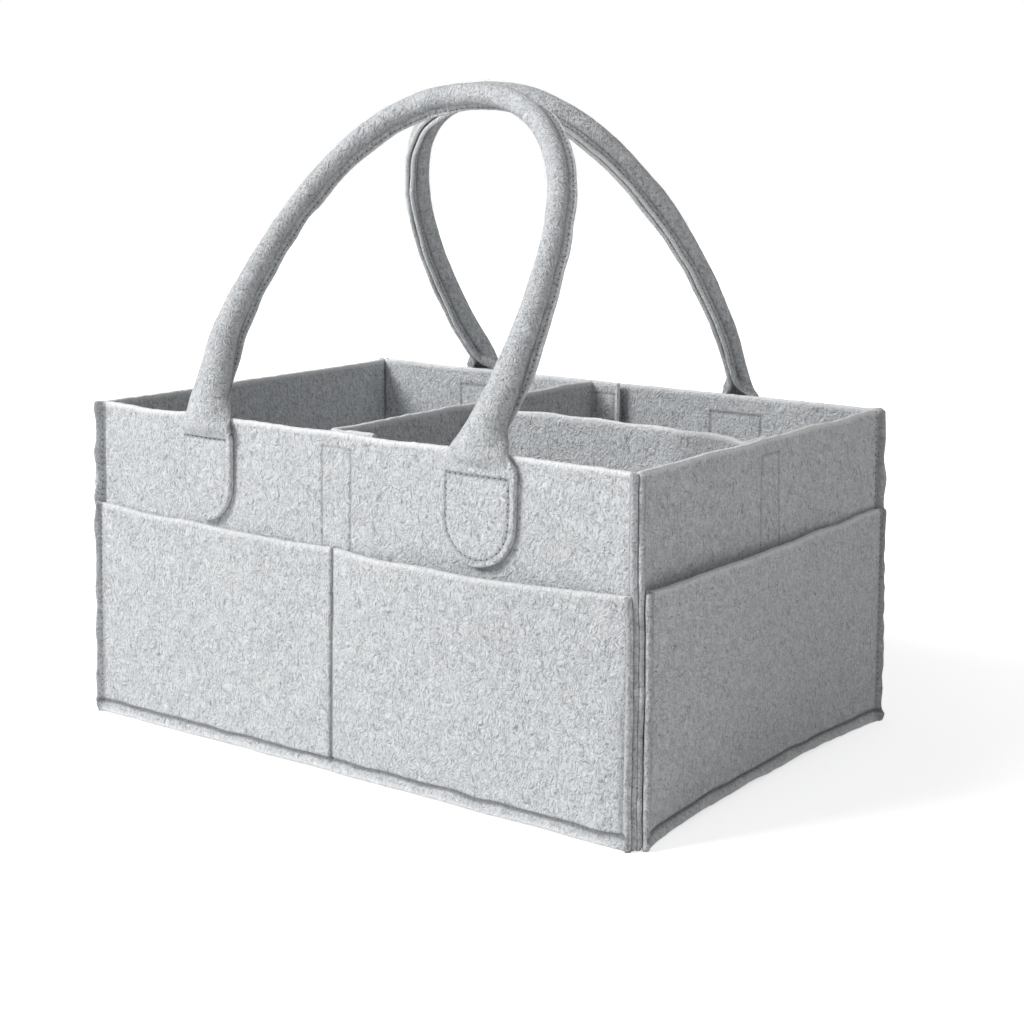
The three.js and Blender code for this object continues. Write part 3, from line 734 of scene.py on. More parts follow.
def makeSide(name, side, layer):
    look = sideLook
    top = side["mouth"] if layer else caddy["height"]
    tapeMarks, centreMark, tabs = sideMarks(name, side, layer)
    shares, heights = sideTicks(side, layer, top, tapeMarks, centreMark, tabs)
    x, out, share = sideSurface(side, layer, shares, heights, top)
    levels = np.repeat(heights[:, None], x.shape[1], 1)
    middle = sideMiddle(side, layer, top, x, out, share, levels, bool(centreMark))
    seamWave = look["seamWave"] * ripple(x, 0 * x, look["seamWaveScale"], side["turns"] * 10 + 6)
    seamLine = caddy["seamHeight"] + seamWave
    groove, innerGroove = sideGrooves(side, layer, x, levels, seamLine, tapeMarks, centreMark, tabs)
    finThickness = np.array([finPlace(layer, level, 0.0)[0] for level in heights])[:, None]
    thickness = caddy["felt"] + (finThickness - caddy["felt"]) * smoothStep(np.abs(share), 0.985, 1)
    half = straightHalf(side, layer, top / 2, 0.15)
    beyond = np.abs(x) - half
    # Painted shade at the bend into each corner fin and along the fin, and a painted edge highlight, weaker
    # on pockets and fins
    cornerShade = look["rootShade"] * np.exp(-((beyond - 0.8) / look["rootWidth"]) ** 2)
    cornerShade = cornerShade + look["finPaintedShade"] * smoothStep(beyond, 1, 3)
    rimHighlightShare = (look["pocketRimHighlight"] if layer else 1) * (1 - (1 - look["finRimHighlight"]) * smoothStep(beyond, 0, 2))
    kind = "pocket" if layer else "wall"
    sheet = feltSheet(f"{name}_{kind}_felt", middle, felt, thickness, outerGroove=groove,
                      innerGroove=innerGroove, rimHighlightShare=rimHighlightShare, shade=cornerShade)
    sheet.update(x=x[len(x) // 2], heights=heights)
    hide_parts(f"{name}_{kind}")
    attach(sheet["piece"], "box")
    sheets["box"].append(sheet)
    sewSide(side, layer, sheet, top, half, seamLine, tapeMarks, centreMark, tabs)


for layer in (0, 1):  # the walls, then the pockets over them
    for name, side in sides.items():
        makeSide(name, side, layer)
print("walls and pockets made")


# Bottom panel: one sheet whose border turns down inside the walls

bottomLook = {"spacing": 4.0, "bend": 2.5, "edgeDrop": 5.6, "wave": 0.5, "waveScale": 90.0, "tuckShare": 0.9}


def makeBottom(look):
    top = caddy["seamHeight"]
    halfX = innerHalf("length", top) - caddy["gap"] - caddy["felt"] / 2
    halfY = innerHalf("width", top) - caddy["gap"] - caddy["felt"] / 2
    bendLength = look["bend"] * math.pi / 2
    fold = bendLength + look["edgeDrop"] - look["bend"]

    def profile(size):
        flat = size - look["bend"]
        places = list(np.linspace(-flat, flat, round(2 * flat / look["spacing"]) + 1))
        turns = [flat + bendLength * share for share in (0.25, 0.5, 0.75, 1)]
        drop = [flat + fold - step for step in reversed(edgeSteps)]
        return np.array([-place for place in reversed(turns + drop)] + places + turns + drop), flat

    def bentPlace(place, flat):
        over = np.maximum(np.abs(place) - flat, 0)
        angle = np.minimum(over / look["bend"], math.pi / 2)
        straight = np.maximum(over - bendLength, 0)
        reach = np.minimum(np.abs(place), flat) + look["bend"] * np.sin(angle)
        return np.sign(place) * reach, look["bend"] * (1 - np.cos(angle)) + straight

    xs, flatX = profile(halfX)
    ys, flatY = profile(halfY)
    x, dropX = bentPlace(np.repeat(xs[None], len(ys), 0), flatX)
    y, dropY = bentPlace(np.repeat(ys[:, None], len(xs), 1), flatY)
    drop = np.maximum(dropX, dropY)
    tuck = look["tuckShare"] * sides["right"]["tuck"] * (1 - np.abs(y / halfY) ** sideLook["tuckPower"])
    x = x - tuck * np.sign(x) * smoothStep(np.abs(x), 0.8 * halfX, halfX)
    z = top - drop + look["wave"] * ripple(x, y, look["waveScale"], 51) * (drop == 0)
    sheet = feltSheet("bottom_panel_felt", np.stack([x, y, z], -1), felt)
    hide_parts("bottom_panel")
    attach(sheet["piece"], "box")
    sheets["box"].append(sheet)


makeBottom(bottomLook)
print("bottom panel made")


# Handles: one strip from tab to tab. It is laid out flat, across and up from the rim, rolled
# about its own middle line and then bent inwards over the rim.

handleLook = {
    "footSpacing": 171.0, "widestSpacing": 178.5, "widestHeight": 47.0, "height": 191.0, "exponent": 2.2,
    "tubeRadius": 7.2, "finHeight": 4.8, "finBeside": 1.3, "finTurn": 0.5, "finSplay": 0.35, "finSway": 0.5,
    # finShade paints shade in the creases beside the fins; the fin rim values below paint a highlight on
    # their raw edges
    "finShade": 1.1, "finShadeWidth": 1.1, "finPressed": 0.7, "finPressedOver": (-2.2, -0.4),
    "finRimHighlight": 1.0, "finRimHighlightShare": 0.95, "finStitch": 2.3, "finGroove": 0.35, "finGrooveWidth": 0.6,
    "bendRadius": 24.0, "tabDepth": 52.0, "hinge": 9.0, "topStitch": 10.4, "edgeBand": 6.0,
    "groove": 0.9, "sideGroove": 0.5, "grooveWidth": 0.8, "lump": 0.28, "fibreLump": 0.1,
    "pleat": 0.35, "pleatPace": 4.3, "pleatPlace": 9.0, "pleatWidth": 4.5,
    "rowSpacing": 1.6, "tabRowSpacing": 1.1, "columnSpacing": 1.3, "closeColumns": (14.4, 17.2, 0.45),
    "lookAhead": 0.8, "rollReach": 4, "swayReach": 16,  # how widely the feet's tables are evened out
    # the rises between which each of these comes in; topOver alone counts from the strip's middle
    "topOver": (-20, 60), "widensOver": (0, 26), "twistsOver": (4, 50), "pleatsOver": (26, 60),
    "finsOver": (24, 40), "finSeamsOver": (20, 34), "rollsOver": (2, 20),
    "sunkAround": 0.45, "lessSunk": 0.3, "sunkAcross": 0.1, "finStitchFrom": 22.0,
    "cordFrom": 30.0, "cordGap": 0.7, "cordRidge": 0.4, "cordStrands": 3, "cordLay": 17.0, "cordSides": 24,
}
handleSets = {
    "front": {
        "turns": 0, "middle": -2.8, "topRadius": 5.3, "thinsOver": (30.0, 120.0), "twist": (-0.6, 0.95),
        "seed": 71,
    },
    "back": {
        "turns": 2, "middle": 7.0, "topRadius": 6.3, "thinsOver": (50.0, 150.0), "twist": (0.0, 0.0),
        "seed": 81,
    },
}


def rollMeasures(radius):  # the tube's middle radius, its closing angle and half its girth
    middle = radius - caddy["felt"] / 2
    angle = math.pi - math.asin(handleLook["finBeside"] / middle)
    return middle, angle, angle * middle


stripHalf = rollMeasures(handleLook["tubeRadius"])[2] + handleLook["finHeight"]


def handleLine(look):  # the strip's middle line, laid flat, from one tab's end to the other's
    foot, widest, widestHeight = look["footSpacing"] / 2, look["widestSpacing"] / 2, look["widestHeight"]
    right = [(foot, -rise) for rise in np.linspace(look["tabDepth"], 0, 60, endpoint=False)]
    for rise in np.linspace(0, widestHeight, 60, endpoint=False):
        right.append((foot + (widest - foot) * (1 - math.cos(math.pi * rise / widestHeight)) / 2, rise))
    power = 2 / look["exponent"]
    for angle in np.linspace(0, math.pi / 2, 400):
        over = (look["height"] - widestHeight) * math.sin(angle) ** power
        right.append((widest * max(math.cos(angle), 0) ** power, widestHeight + over))
    right = np.array(right)
    points = np.concatenate([right[:-1] * np.array([-1, 1]), right[::-1]])
    return points, runLength(points)


def rollProfile(places, roll, radius):  # across and depth of the strip's middle: flat at 0, a tube at 1
    look = handleLook
    tubeMiddle, rollAngle, tubeHalf = rollMeasures(radius)
    reachEnd = tubeHalf + look["finHeight"]
    fine = np.linspace(0, reachEnd, 300)
    angle = rollAngle * fine / tubeHalf
    turnBack = smoothStep(fine, tubeHalf - look["finTurn"], tubeHalf + look["finTurn"])
    angle = roll * (np.minimum(angle, rollAngle) * (1 - turnBack) + math.pi / 2 * turnBack)
    step = fine[1] - fine[0]
    x = np.concatenate([[0], (np.cos(angle[1:] / 2 + angle[:-1] / 2) * step).cumsum()])
    y = np.concatenate([[0], (np.sin(angle[1:] / 2 + angle[:-1] / 2) * step).cumsum()])
    y = y + caddy["felt"] / 2 - min(y.max(), tubeMiddle)
    reach = np.abs(places) * reachEnd / stripHalf
    closeUp = np.where(reach > tubeHalf, 1, 0) * roll
    across = np.interp(reach, fine, x)
    across = across + (look["finBeside"] - across) * closeUp * smoothStep(reach, tubeHalf, tubeHalf + 1)
    return np.sign(places) * across, np.interp(reach, fine, y)


def bentPoint(tilt, across, rise, depth, radius):  # a flat place taken over the rim, leaning by tilt
    turnedBy = np.clip(rise / radius, 0, tilt - wallAngle)
    angle = wallAngle + turnedBy
    straight = rise - turnedBy * radius
    start = -caddy["width"] / 2 - caddy["gap"] - caddy["felt"]
    inward = depth - radius
    y = start + radius * math.cos(wallAngle) + inward * np.cos(angle) + straight * np.sin(angle)
    z = caddy["height"] - radius * math.sin(wallAngle) - inward * np.sin(angle) + straight * np.cos(angle)
    return np.stack([across, y, z], -1)


def meetingTilt(look):  # the lean at which the two fins all but touch over the middle
    tubeMiddle = rollMeasures(handleSets["back"]["topRadius"])[0]
    depth = caddy["felt"] / 2 + math.sqrt(tubeMiddle ** 2 - look["finBeside"] ** 2) + look["finHeight"]
    rise = look["height"] + look["finBeside"] + caddy["felt"] / 2
    low, high = 0.0, math.pi / 2
    for attempt in range(40):
        tilt = (low + high) / 2
        reach = bentPoint(tilt, np.array(0.0), np.array(rise), np.array(depth), look["bendRadius"])[1]
        low, high = (tilt, high) if reach < -caddy["gap"] else (low, tilt)
    return low


handleTilt = meetingTilt(handleLook)


def evened(rises, table, reach):  # a table of rises and values as one smooth run
    fine = np.linspace(-60, 400, 921)
    window = np.hanning(4 * reach + 1)
    padded = np.pad(np.interp(fine, *table), 2 * reach, mode="edge")
    return np.interp(rises, fine, np.convolve(padded, window / window.sum(), mode="valid"))


def handleTrack(name, topRadius, thinsOver, twist):  # the strip's rows, from one tab's end to the other's
    look = handleLook
    points, length = handleLine(look)
    total = length[-1]
    tabDepth = look["tabDepth"]
    roundEnd = stripHalf * (1 - np.cos(np.linspace(0, math.pi / 2, 26)))
    marks = [tabDepth - look["topStitch"]]
    tabRows = ticks(stripHalf, tabDepth, look["tabRowSpacing"], marks, (False, False))
    gripRows = np.linspace(tabDepth, total / 2, round((total / 2 - tabDepth) / look["rowSpacing"]))
    half = np.unique(np.round(np.concatenate([roundEnd, tabRows, gripRows]), 3))
    places = np.concatenate([half, (total - half[:-1])[::-1]])
    x, up = (np.interp(places, length, run) for run in points.T)
    before = np.stack([np.interp(places - look["lookAhead"], length, run) for run in points.T], -1)
    after = np.stack([np.interp(places + look["lookAhead"], length, run) for run in points.T], -1)
    fromEnd = np.minimum(places, total - places)
    rise = fromEnd - tabDepth
    bothFeet = (feet[name]["left"], feet[name]["right"])

    def eachFoot(left, right):
        return np.where(places > total / 2, right, left)

    rolls = [evened(rise, (foot["rises"], foot["rolls"]), look["rollReach"]) for foot in bothFeet]
    sways = [evened(rise, foot["sways"], look["swayReach"]) for foot in bothFeet]
    full = smoothStep(rise, *look["widensOver"])
    widths = eachFoot(*(foot["width"] for foot in bothFeet)) * (1 - full) + full
    radii = eachFoot(*(foot["radius"] for foot in bothFeet))
    overTop = smoothStep(places - total / 2, *look["topOver"])
    return {
        "places": places, "total": total, "fromEnd": fromEnd, "rise": rise, "up": up, "widths": widths,
        "x": x + eachFoot(*sways),
        "ahead": unit(after - before),
        "rolls": eachFoot(*rolls),
        "radii": radii + (topRadius - radii) * smoothStep(rise, *thinsOver),
        "twists": (twist[0] * (1 - overTop) + twist[1] * overTop) * smoothStep(rise, *look["twistsOver"]),
        "sewn": eachFoot(*(foot["sewn"] for foot in bothFeet)),
    }


def roundedWidth(fromEnd):  # half the strip, less where the tab's end rounds off
    if fromEnd >= stripHalf:
        return stripHalf
    return math.sqrt(max(2 * stripHalf * fromEnd - fromEnd ** 2, 0))


def stripGrid(track, columns):  # each row's places across the strip, rolled up, and their way to its border
    band = handleLook["edgeBand"]
    rows, borders = [], []
    for index, fromEnd in enumerate(track["fromEnd"]):
        width = roundedWidth(fromEnd)
        if width > band + 1:  # the border keeps its width where the tab's end rounds off
            inside = columns * (width - band) / (stripHalf - band)
            banded = np.sign(columns) * (width - (stripHalf - np.abs(columns)))
            spots = np.where(np.abs(columns) > stripHalf - band, banded, inside)
        else:
            spots = columns * width / stripHalf
        narrowed = spots * track["widths"][index]
        across, depth = rollProfile(narrowed, track["rolls"][index], track["radii"][index])
        fromAxis = depth - caddy["felt"] / 2
        turnCos, turnSin = math.cos(track["twists"][index]), math.sin(track["twists"][index])
        across, depth = across * turnCos - fromAxis * turnSin, across * turnSin + fromAxis * turnCos
        rows.append(np.stack([across, caddy["felt"] / 2 + depth, spots], -1))
        inRound = fromEnd < stripHalf
        borders.append(stripHalf - (np.hypot(spots, stripHalf - fromEnd) if inRound else np.abs(spots)))
    border = np.maximum(np.array(borders), 0)
    border[:, 0] = border[:, -1] = 0
    border[0] = border[-1] = 0
    return np.moveaxis(np.array(rows), -1, 0), border * track["widths"][:, None]


def laidOut(track, rows, across, depth, handleSet):  # places across the strip, bent over the rim
    x = track["x"][rows, None] + across * track["ahead"][rows, 1:2] + handleSet["middle"]
    up = track["up"][rows, None] - across * track["ahead"][rows, 0:1]
    return turned(bentPoint(handleTilt, x, up, depth, handleLook["bendRadius"]), handleSet["turns"])


def sewHandle(name, sheet, track):
    look = handleLook
    body, total = f"{name}_handle", track["total"]
    bothFeet = (feet[name]["left"], feet[name]["right"])
    band = look["edgeBand"]

    def columnAt(spot, place):
        width = roundedWidth(place)
        banded = abs(spot) - width + stripHalf
        if banded > stripHalf - band:
            return math.copysign(banded, spot)
        return spot * (stripHalf - band) / (width - band)

    row = stripHalf - stitchInset / np.mean([foot["width"] for foot in bothFeet])
    top = look["tabDepth"] - look["topStitch"]
    straight = [(row, place) for place in line(stripHalf, top)]
    bend = [(row * math.sin(angle), stripHalf - row * math.cos(angle))
            for angle in np.linspace(-math.pi / 2, math.pi / 2, 34)]
    around = [(-spot, place) for spot, place in reversed(straight)] + bend + straight
    across = [(spot, top) for spot in line(-row, row)]
    for end, foot in zip((False, True), bothFeet):
        sunkAround = look["sunkAround"] - look["lessSunk"] * foot["sewn"]
        for path, sunk in ((around, sunkAround), (across, look["sunkAcross"])):
            columns = np.array([columnAt(spot, place) for spot, place in path])
            places = np.array([place for spot, place in path])
            sewRow(body, sheet, columns, total - places if end else places, depth=sunk)
    start = look["tabDepth"] + look["finStitchFrom"]
    for end in (-1, 1):
        fin = end * (stripHalf - look["finStitch"])
        sewRow(body, sheet, fin, line(start, total - start), depth=look["sunkAcross"])


def makeCord(name, track, handleSet):  # a laid cord that fills the closed part of the tube
    look, body = handleLook, f"{name}_handle"
    sides = look["cordSides"]
    chosen = np.flatnonzero(track["rise"] > look["cordFrom"])
    angles = np.linspace(0, 2 * math.pi, sides, endpoint=False)
    lay = track["places"][chosen, None] * math.pi / look["cordLay"]
    strands = np.abs(np.cos(look["cordStrands"] / 2 * angles + lay))
    reach = track["radii"][chosen, None] - caddy["felt"] - look["cordGap"] + look["cordRidge"] * strands
    across, depth = reach * np.cos(angles), caddy["felt"] / 2 + reach * np.sin(angles)
    cord = laidOut(track, chosen, across, depth, handleSet)
    index = np.arange(cord.shape[0] * sides).reshape(-1, sides)
    after = np.roll(index, -1, 1)
    quads = [np.stack([index[:-1], after[:-1], after[1:], index[1:]], -1).reshape(-1, 4)]
    half = sides // 2
    for ring in (index[0], index[-1]):  # the ends are closed by strips of faces from side to side
        back = ring[:half - 1:-1]
        quads.append(np.stack([ring[:half - 1], ring[1:half], back[1:], back[:-1]], -1))
    piece = newPiece(f"{name}_handle_cord", cord.reshape(-1, 3), np.concatenate(quads), cordYarn, {})
    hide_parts(f"{name}_handle_core")
    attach(piece, body)


def makeHandle(name, handleSet):
    look, seed = handleLook, handleSet["seed"]
    track = handleTrack(name, handleSet["topRadius"], handleSet["thinsOver"], handleSet["twist"])
    low, high, step = look["closeColumns"]
    marks = [stitchInset - stripHalf, stripHalf - stitchInset]
    columns = ticks(-stripHalf, stripHalf, look["columnSpacing"], marks,
                    dense=[(-high, -low, step), (low, high, step)])
    (across, depth, spots), border = stripGrid(track, columns)
    fromMiddle = np.abs(spots)
    places = track["places"][:, None] + 0 * spots
    rise = track["rise"][:, None] + 0 * spots
    lumps = look["lump"] * ripple(spots * 1.2, places, 30, seed)
    lumps = lumps + look["fibreLump"] * ripple(spots, places, 7, seed + 1)
    pleats = look["pleat"] * np.sin(places / look["pleatPace"] + 0.9 * ripple(places, spots, 25, seed + 3))
    pleats = pleats * np.exp(-((fromMiddle - look["pleatPlace"]) / look["pleatWidth"]) ** 2)
    uneven = lumps + pleats * smoothStep(rise, *look["pleatsOver"])
    depth = depth + uneven * smoothStep(rise, -look["hinge"], 20)
    onFin = smoothStep(fromMiddle, stripHalf - look["finHeight"] - 1, stripHalf)
    onFin = onFin * smoothStep(rise, *look["finsOver"])
    across = across + look["finSway"] * ripple(places, 0 * spots, 22, seed + 2) * onFin
    across = across + np.sign(spots) * look["finSplay"] * onFin
    surface = laidOut(track, slice(None), across, depth, handleSet)
    aroundTab = grooveDepth(border - stitchInset, look["sideGroove"], look["grooveWidth"])
    aroundTab = np.where(rise < 0.5 - look["topStitch"], aroundTab, 0) * track["sewn"][:, None]
    overTab = grooveDepth(rise + look["topStitch"], look["groove"], look["grooveWidth"])
    overTab = overTab * smoothStep(stripHalf - stitchInset + 0.6 - fromMiddle, 0, 1)
    finSeam = grooveDepth(border - look["finStitch"], look["finGroove"], look["finGrooveWidth"])
    groove = np.maximum.reduce([aroundTab, overTab, finSeam * smoothStep(rise, *look["finSeamsOver"])])
    rootSpots = np.array([rollMeasures(radius)[2] for radius in track["radii"]])
    rootSpots = rootSpots * stripHalf / (rootSpots + look["finHeight"])
    fromRoot = fromMiddle - rootSpots[:, None]
    rolledUp = smoothStep(rise, *look["rollsOver"])
    # Painted shade in the creases beside each fin, and a painted highlight on the fins' raw edges
    shade = look["finShade"] * np.exp(-(fromRoot / look["finShadeWidth"]) ** 2) * rolledUp
    thickness = caddy["felt"] - look["finPressed"] * smoothStep(fromRoot, *look["finPressedOver"]) * rolledUp
    rimHighlightShare = look["finRimHighlightShare"] * rolledUp * np.exp(-(border / look["finRimHighlight"]) ** 2)
    sheet = feltSheet(f"{name}_handle_felt", surface, felt, thickness, outerGroove=groove, distance=border,
                      rimHighlightShare=rimHighlightShare, shade=shade)
    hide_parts(f"{name}_handle_grip", f"{name}_handle_left_tab", f"{name}_handle_right_tab")
    sheet.update(x=columns, heights=track["places"])
    sheets[f"{name}_handle"].append(sheet)
    sewHandle(name, sheet, track)
    makeCord(name, track, handleSet)
    blendHandle(sheet["piece"])


def blendHandle(piece):  # the piece's placing is baked into its mesh
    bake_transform(piece)


for name, handleSet in handleSets.items():
    makeHandle(name, handleSet)
print("handles made")


# Dividers: a plan line of felt with creased ends, from the bottom panel to about the rim. The tops of
# its two flaps drop a little.

dividerLook = {
    "flap": 20.0, "crossBow": 1.0, "halfBow": 5.0, "crossOffset": 1.7, "crossAboveRim": 1.0,
    "spacing": 3.2, "bend": 1.75, "wave": 0.5, "waveScale": 80.0, "smallWave": 0.1, "smallWaveScale": 13.0,
    "groove": 0.4, "grooveWidth": 0.7,
    "stitchColumns": (2.4, 14.6), "stitchTop": 6.5, "stitchFoot": 8.0, "sunk": 0.3,
    "frontCorner": -12.5, "frontPull": 1.6, "frontPullReach": 34.0, "frontFlapMore": 2.0,
    "rimWave": 0.5, "rimWaveScale": 45.0, "rimRough": 0.15, "rimRoughScale": 8.0,
    "crossDrops": (1.0, 0.3), "halfDrops": (0.3, 1.4), "dropOver": (17, 30),
}
bottomTop = caddy["seamHeight"] + caddy["felt"] / 2
dividerBottom = bottomTop + caddy["gap"]
tapeStack = 2 * caddy["tape"] + 3 * caddy["gap"]
crossEnd = innerHalf("width", caddy["height"]) - tapeStack - caddy["felt"] / 2
crossPlace = dividerLook["crossOffset"] - (dividerLook["flap"] - caddy["felt"]) / 2
crossFace = crossPlace - dividerLook["crossBow"] + caddy["felt"] / 2
halfStart = crossFace + tapeStack + caddy["felt"] / 2
halfEnd = innerHalf("length", caddy["height"]) - tapeStack - caddy["felt"] / 2


def creasedLine(points, radius, spacing, marks):  # a plan line with its corners rounded a little
    points = [np.array(point, float) for point in points]
    dense = [points[0]]
    for before, corner, after in zip(points, points[1:], points[2:]):
        into, out = unit(corner - before), unit(after - corner)
        cut = radius * math.tan(math.acos(np.clip(into @ out, -1, 1)) / 2)
        for share in np.linspace(0, 1, 9):
            start, end = corner - into * cut, corner + out * cut
            dense.append(start * (1 - share) ** 2 + 2 * corner * share * (1 - share) + end * share ** 2)
    dense.append(points[-1])
    dense = np.array(dense)
    length = runLength(dense)
    folds = [length[np.argmin(np.linalg.norm(dense - points[index], axis=1))] for index in (1, -2)]
    allMarks = list(marks) + [length[-1] - mark for mark in marks]
    places = ticks(0, length[-1], spacing, allMarks)
    for fold in folds:
        places = np.concatenate([places, fold + np.linspace(-2.4, 2.4, 13)])
    places = np.unique(np.round(places, 2))
    return np.stack([np.interp(places, length, run) for run in dense.T], -1), places


def makeDivider(name, corners, top, flapDrops, seed):
    look = dividerLook
    columns = look["stitchColumns"]
    plan, places = creasedLine(corners, look["bend"], look["spacing"], columns)
    stitchTop, stitchFoot = top - look["stitchTop"], dividerBottom + look["stitchFoot"]
    heights = ticks(dividerBottom, top, look["spacing"], [stitchTop])
    normal = unit(np.stack([-np.gradient(plan[:, 1]), np.gradient(plan[:, 0])], -1))
    fromEnd = np.minimum(places, places[-1] - places)
    inWeb = smoothStep(fromEnd, look["flap"], look["flap"] + 30)
    uneven = look["rimWave"] * ripple(places, 0 * places, look["rimWaveScale"], seed + 2)
    uneven = uneven + look["rimRough"] * ripple(places, 0 * places, look["rimRoughScale"], seed + 3)
    drop = flapDrops[0] * (1 - smoothStep(places, *look["dropOver"]))
    drop = drop + flapDrops[1] * (1 - smoothStep(places[-1] - places, *look["dropOver"]))
    rows = []
    for height in heights:
        share = (height - dividerBottom) / (top - dividerBottom)
        level = height + 0 * places
        wave = look["wave"] * ripple(places, level, look["waveScale"], seed) * inWeb
        wave = wave + look["smallWave"] * ripple(places, level, look["smallWaveScale"], seed + 1)
        moved = plan + normal * wave[:, None]
        z = height + (uneven - drop) * share
        rows.append(np.concatenate([moved, z[:, None]], 1))
    levels = heights[:, None] + 0 * places[None, :]
    ends = fromEnd[None, :] + 0 * levels
    groove = 0 * levels
    inColumns = levels < stitchTop + 0.5
    for column in columns:
        groove = groove + grooveDepth(ends - column, look["groove"], look["grooveWidth"]) * inColumns
    inRow = (ends > columns[0] - 0.5) & (ends < columns[1] + 0.5)
    groove = groove + grooveDepth(levels - stitchTop, look["groove"], look["grooveWidth"]) * inRow
    sheet = feltSheet(f"{name}_felt", np.array(rows), felt, outerGroove=groove, innerGroove=groove)
    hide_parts(name)
    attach(sheet["piece"], name)
    sheet.update(x=places, heights=heights)
    sheets[name].append(sheet)
    for end in (False, True):
        spots = [places[-1] - column if end else column for column in columns]
        for face in ("outer", "inner"):
            for spot in spots:
                sewRow(name, sheet, spot, line(stitchFoot, stitchTop), face, look["sunk"])
            sewRow(name, sheet, line(*spots), stitchTop, face, look["sunk"])


def crossPoint(share, look):  # the web bows a little, and its front end is pulled aside
    bow = look["crossBow"] * (1 - share ** 2)
    pull = look["frontPull"] * math.exp(-(crossEnd * (share + 1) / look["frontPullReach"]) ** 2)
    return crossPlace - bow - pull, crossEnd * share


crossWeb = [crossPoint(share, dividerLook) for share in np.linspace(-1, 1, 13)]
crossWeb[0] = (dividerLook["frontCorner"], -crossEnd)
crossFlap = dividerLook["crossOffset"] + dividerLook["flap"] / 2
frontFlap = [(crossFlap + dividerLook["frontFlapMore"], -crossEnd)]
crossTop = caddy["height"] + dividerLook["crossAboveRim"]
crossLine = frontFlap + crossWeb + [(crossFlap, crossEnd)]
makeDivider("cross_divider", crossLine, crossTop, dividerLook["crossDrops"], 31)
halfFold = (caddy["felt"] - dividerLook["flap"]) / 2
halfShares = np.linspace(0, 1, 13)
halfBows = halfFold + dividerLook["halfBow"] * np.sin(math.pi * halfShares)
halfWeb = list(zip(halfStart + (halfEnd - halfStart) * halfShares, halfBows))
halfFlap = dividerLook["flap"] / 2
halfLine = [(halfStart, halfFlap)] + halfWeb + [(halfEnd, halfFlap)]
makeDivider("half_divider", halfLine, caddy["height"], dividerLook["halfDrops"], 41)
print("dividers made")


# Tapes: a thin woven backing laid over the felt side of each solid, with its hooks or loops on it.
# Each has its body and the direction in which its pile stands.

tapeLines = {
    "front_wall_loop_tape": ("box", (0, 1)), "right_wall_loop_tape": ("box", (-1, 0)),
    "back_wall_loop_tape": ("box", (0, -1)), "cross_divider_loop_tape": ("cross_divider", (1, 0)),
    "cross_divider_front_hook_tape": ("cross_divider", (0, -1)),
    "cross_divider_back_hook_tape": ("cross_divider", (0, 1)),
    "half_divider_inner_hook_tape": ("half_divider", (-1, 0)),
    "half_divider_outer_hook_tape": ("half_divider", (1, 0)),
}
tapeShape = {
    "backing": 0.8, "edge": 0.4, "stitchInset": 1.3, "stitchLift": 0.05, "pileInset": 2.2,
    "hookPitch": 1.7, "loopPitch": 1.25, "jitter": 0.3, "pileLift": 0.05,
}
piles = {}


def makeTape(node, body, facing):
    look = tapeShape
    low, high = (np.array(corner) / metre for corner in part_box(node))
    thin = 0 if facing[0] else 1
    wide = 1 - thin
    sign = facing[thin]
    across = ticks(low[wide], high[wide], 2.0)
    up = ticks(low[2], high[2], 2.5)
    centre = (low[thin] + high[thin]) / 2
    lean = math.copysign(caddy["splay"] / caddy["height"], centre) if body == "box" else 0.0
    surface = np.zeros((len(up), len(across), 3))
    surface[..., wide] = across[None, :]
    surface[..., 2] = up[:, None]
    back = centre - sign * (caddy["tape"] - look["backing"]) / 2
    surface[..., thin] = back - lean * (up[:, None] - (low[2] + high[2]) / 2)
    isLoop = node.endswith("loop_tape")
    weave = loopFace if isLoop else hookFace
    tape = feltSheet(f"{node}_woven", surface, weave, look["backing"], edge=look["edge"])
    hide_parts(node)
    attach(tape["piece"], body)
    tape.update(x=across, heights=up)
    face = "outer" if tape["normal"][1, 1, thin] * sign > 0 else "inner"
    inset = look["stitchInset"]
    for spot in (across[0] + inset, across[-1] - inset):
        sewRow(body, tape, spot, line(up[0] + inset, up[-1] - inset), face, -look["stitchLift"])
    for level in (up[0] + inset, up[-1] - inset):
        sewRow(body, tape, line(across[0] + inset, across[-1] - inset), level, face, -look["stitchLift"])
    pitch = look["loopPitch" if isLoop else "hookPitch"]
    border = look["pileInset"]
    columnPlaces = np.arange(across[0] + border, across[-1] - border, pitch)
    rowPlaces = np.arange(up[0] + border, up[-1] - border, pitch)
    columnPlaces, rowPlaces = (grid.ravel() for grid in np.meshgrid(columnPlaces, rowPlaces))
    random = np.random.default_rng(len(piles) + 300)
    jitter = random.uniform(-look["jitter"], look["jitter"], (2, len(columnPlaces))) * (isLoop + 0.2)
    points = onSheet(tape, columnPlaces + jitter[0], rowPlaces + jitter[1], -look["pileLift"], face)
    piles.setdefault((body, "loop" if isLoop else "hook"), []).append(points)


for nodeName, (bodyName, facing) in tapeLines.items():
    makeTape(nodeName, bodyName, facing)
print("tapes made")


# Stitches, hooks, loops and loose fibres: Geometry Nodes set one small shape along seam lines or
# on scattered points, each turned to the felt under it

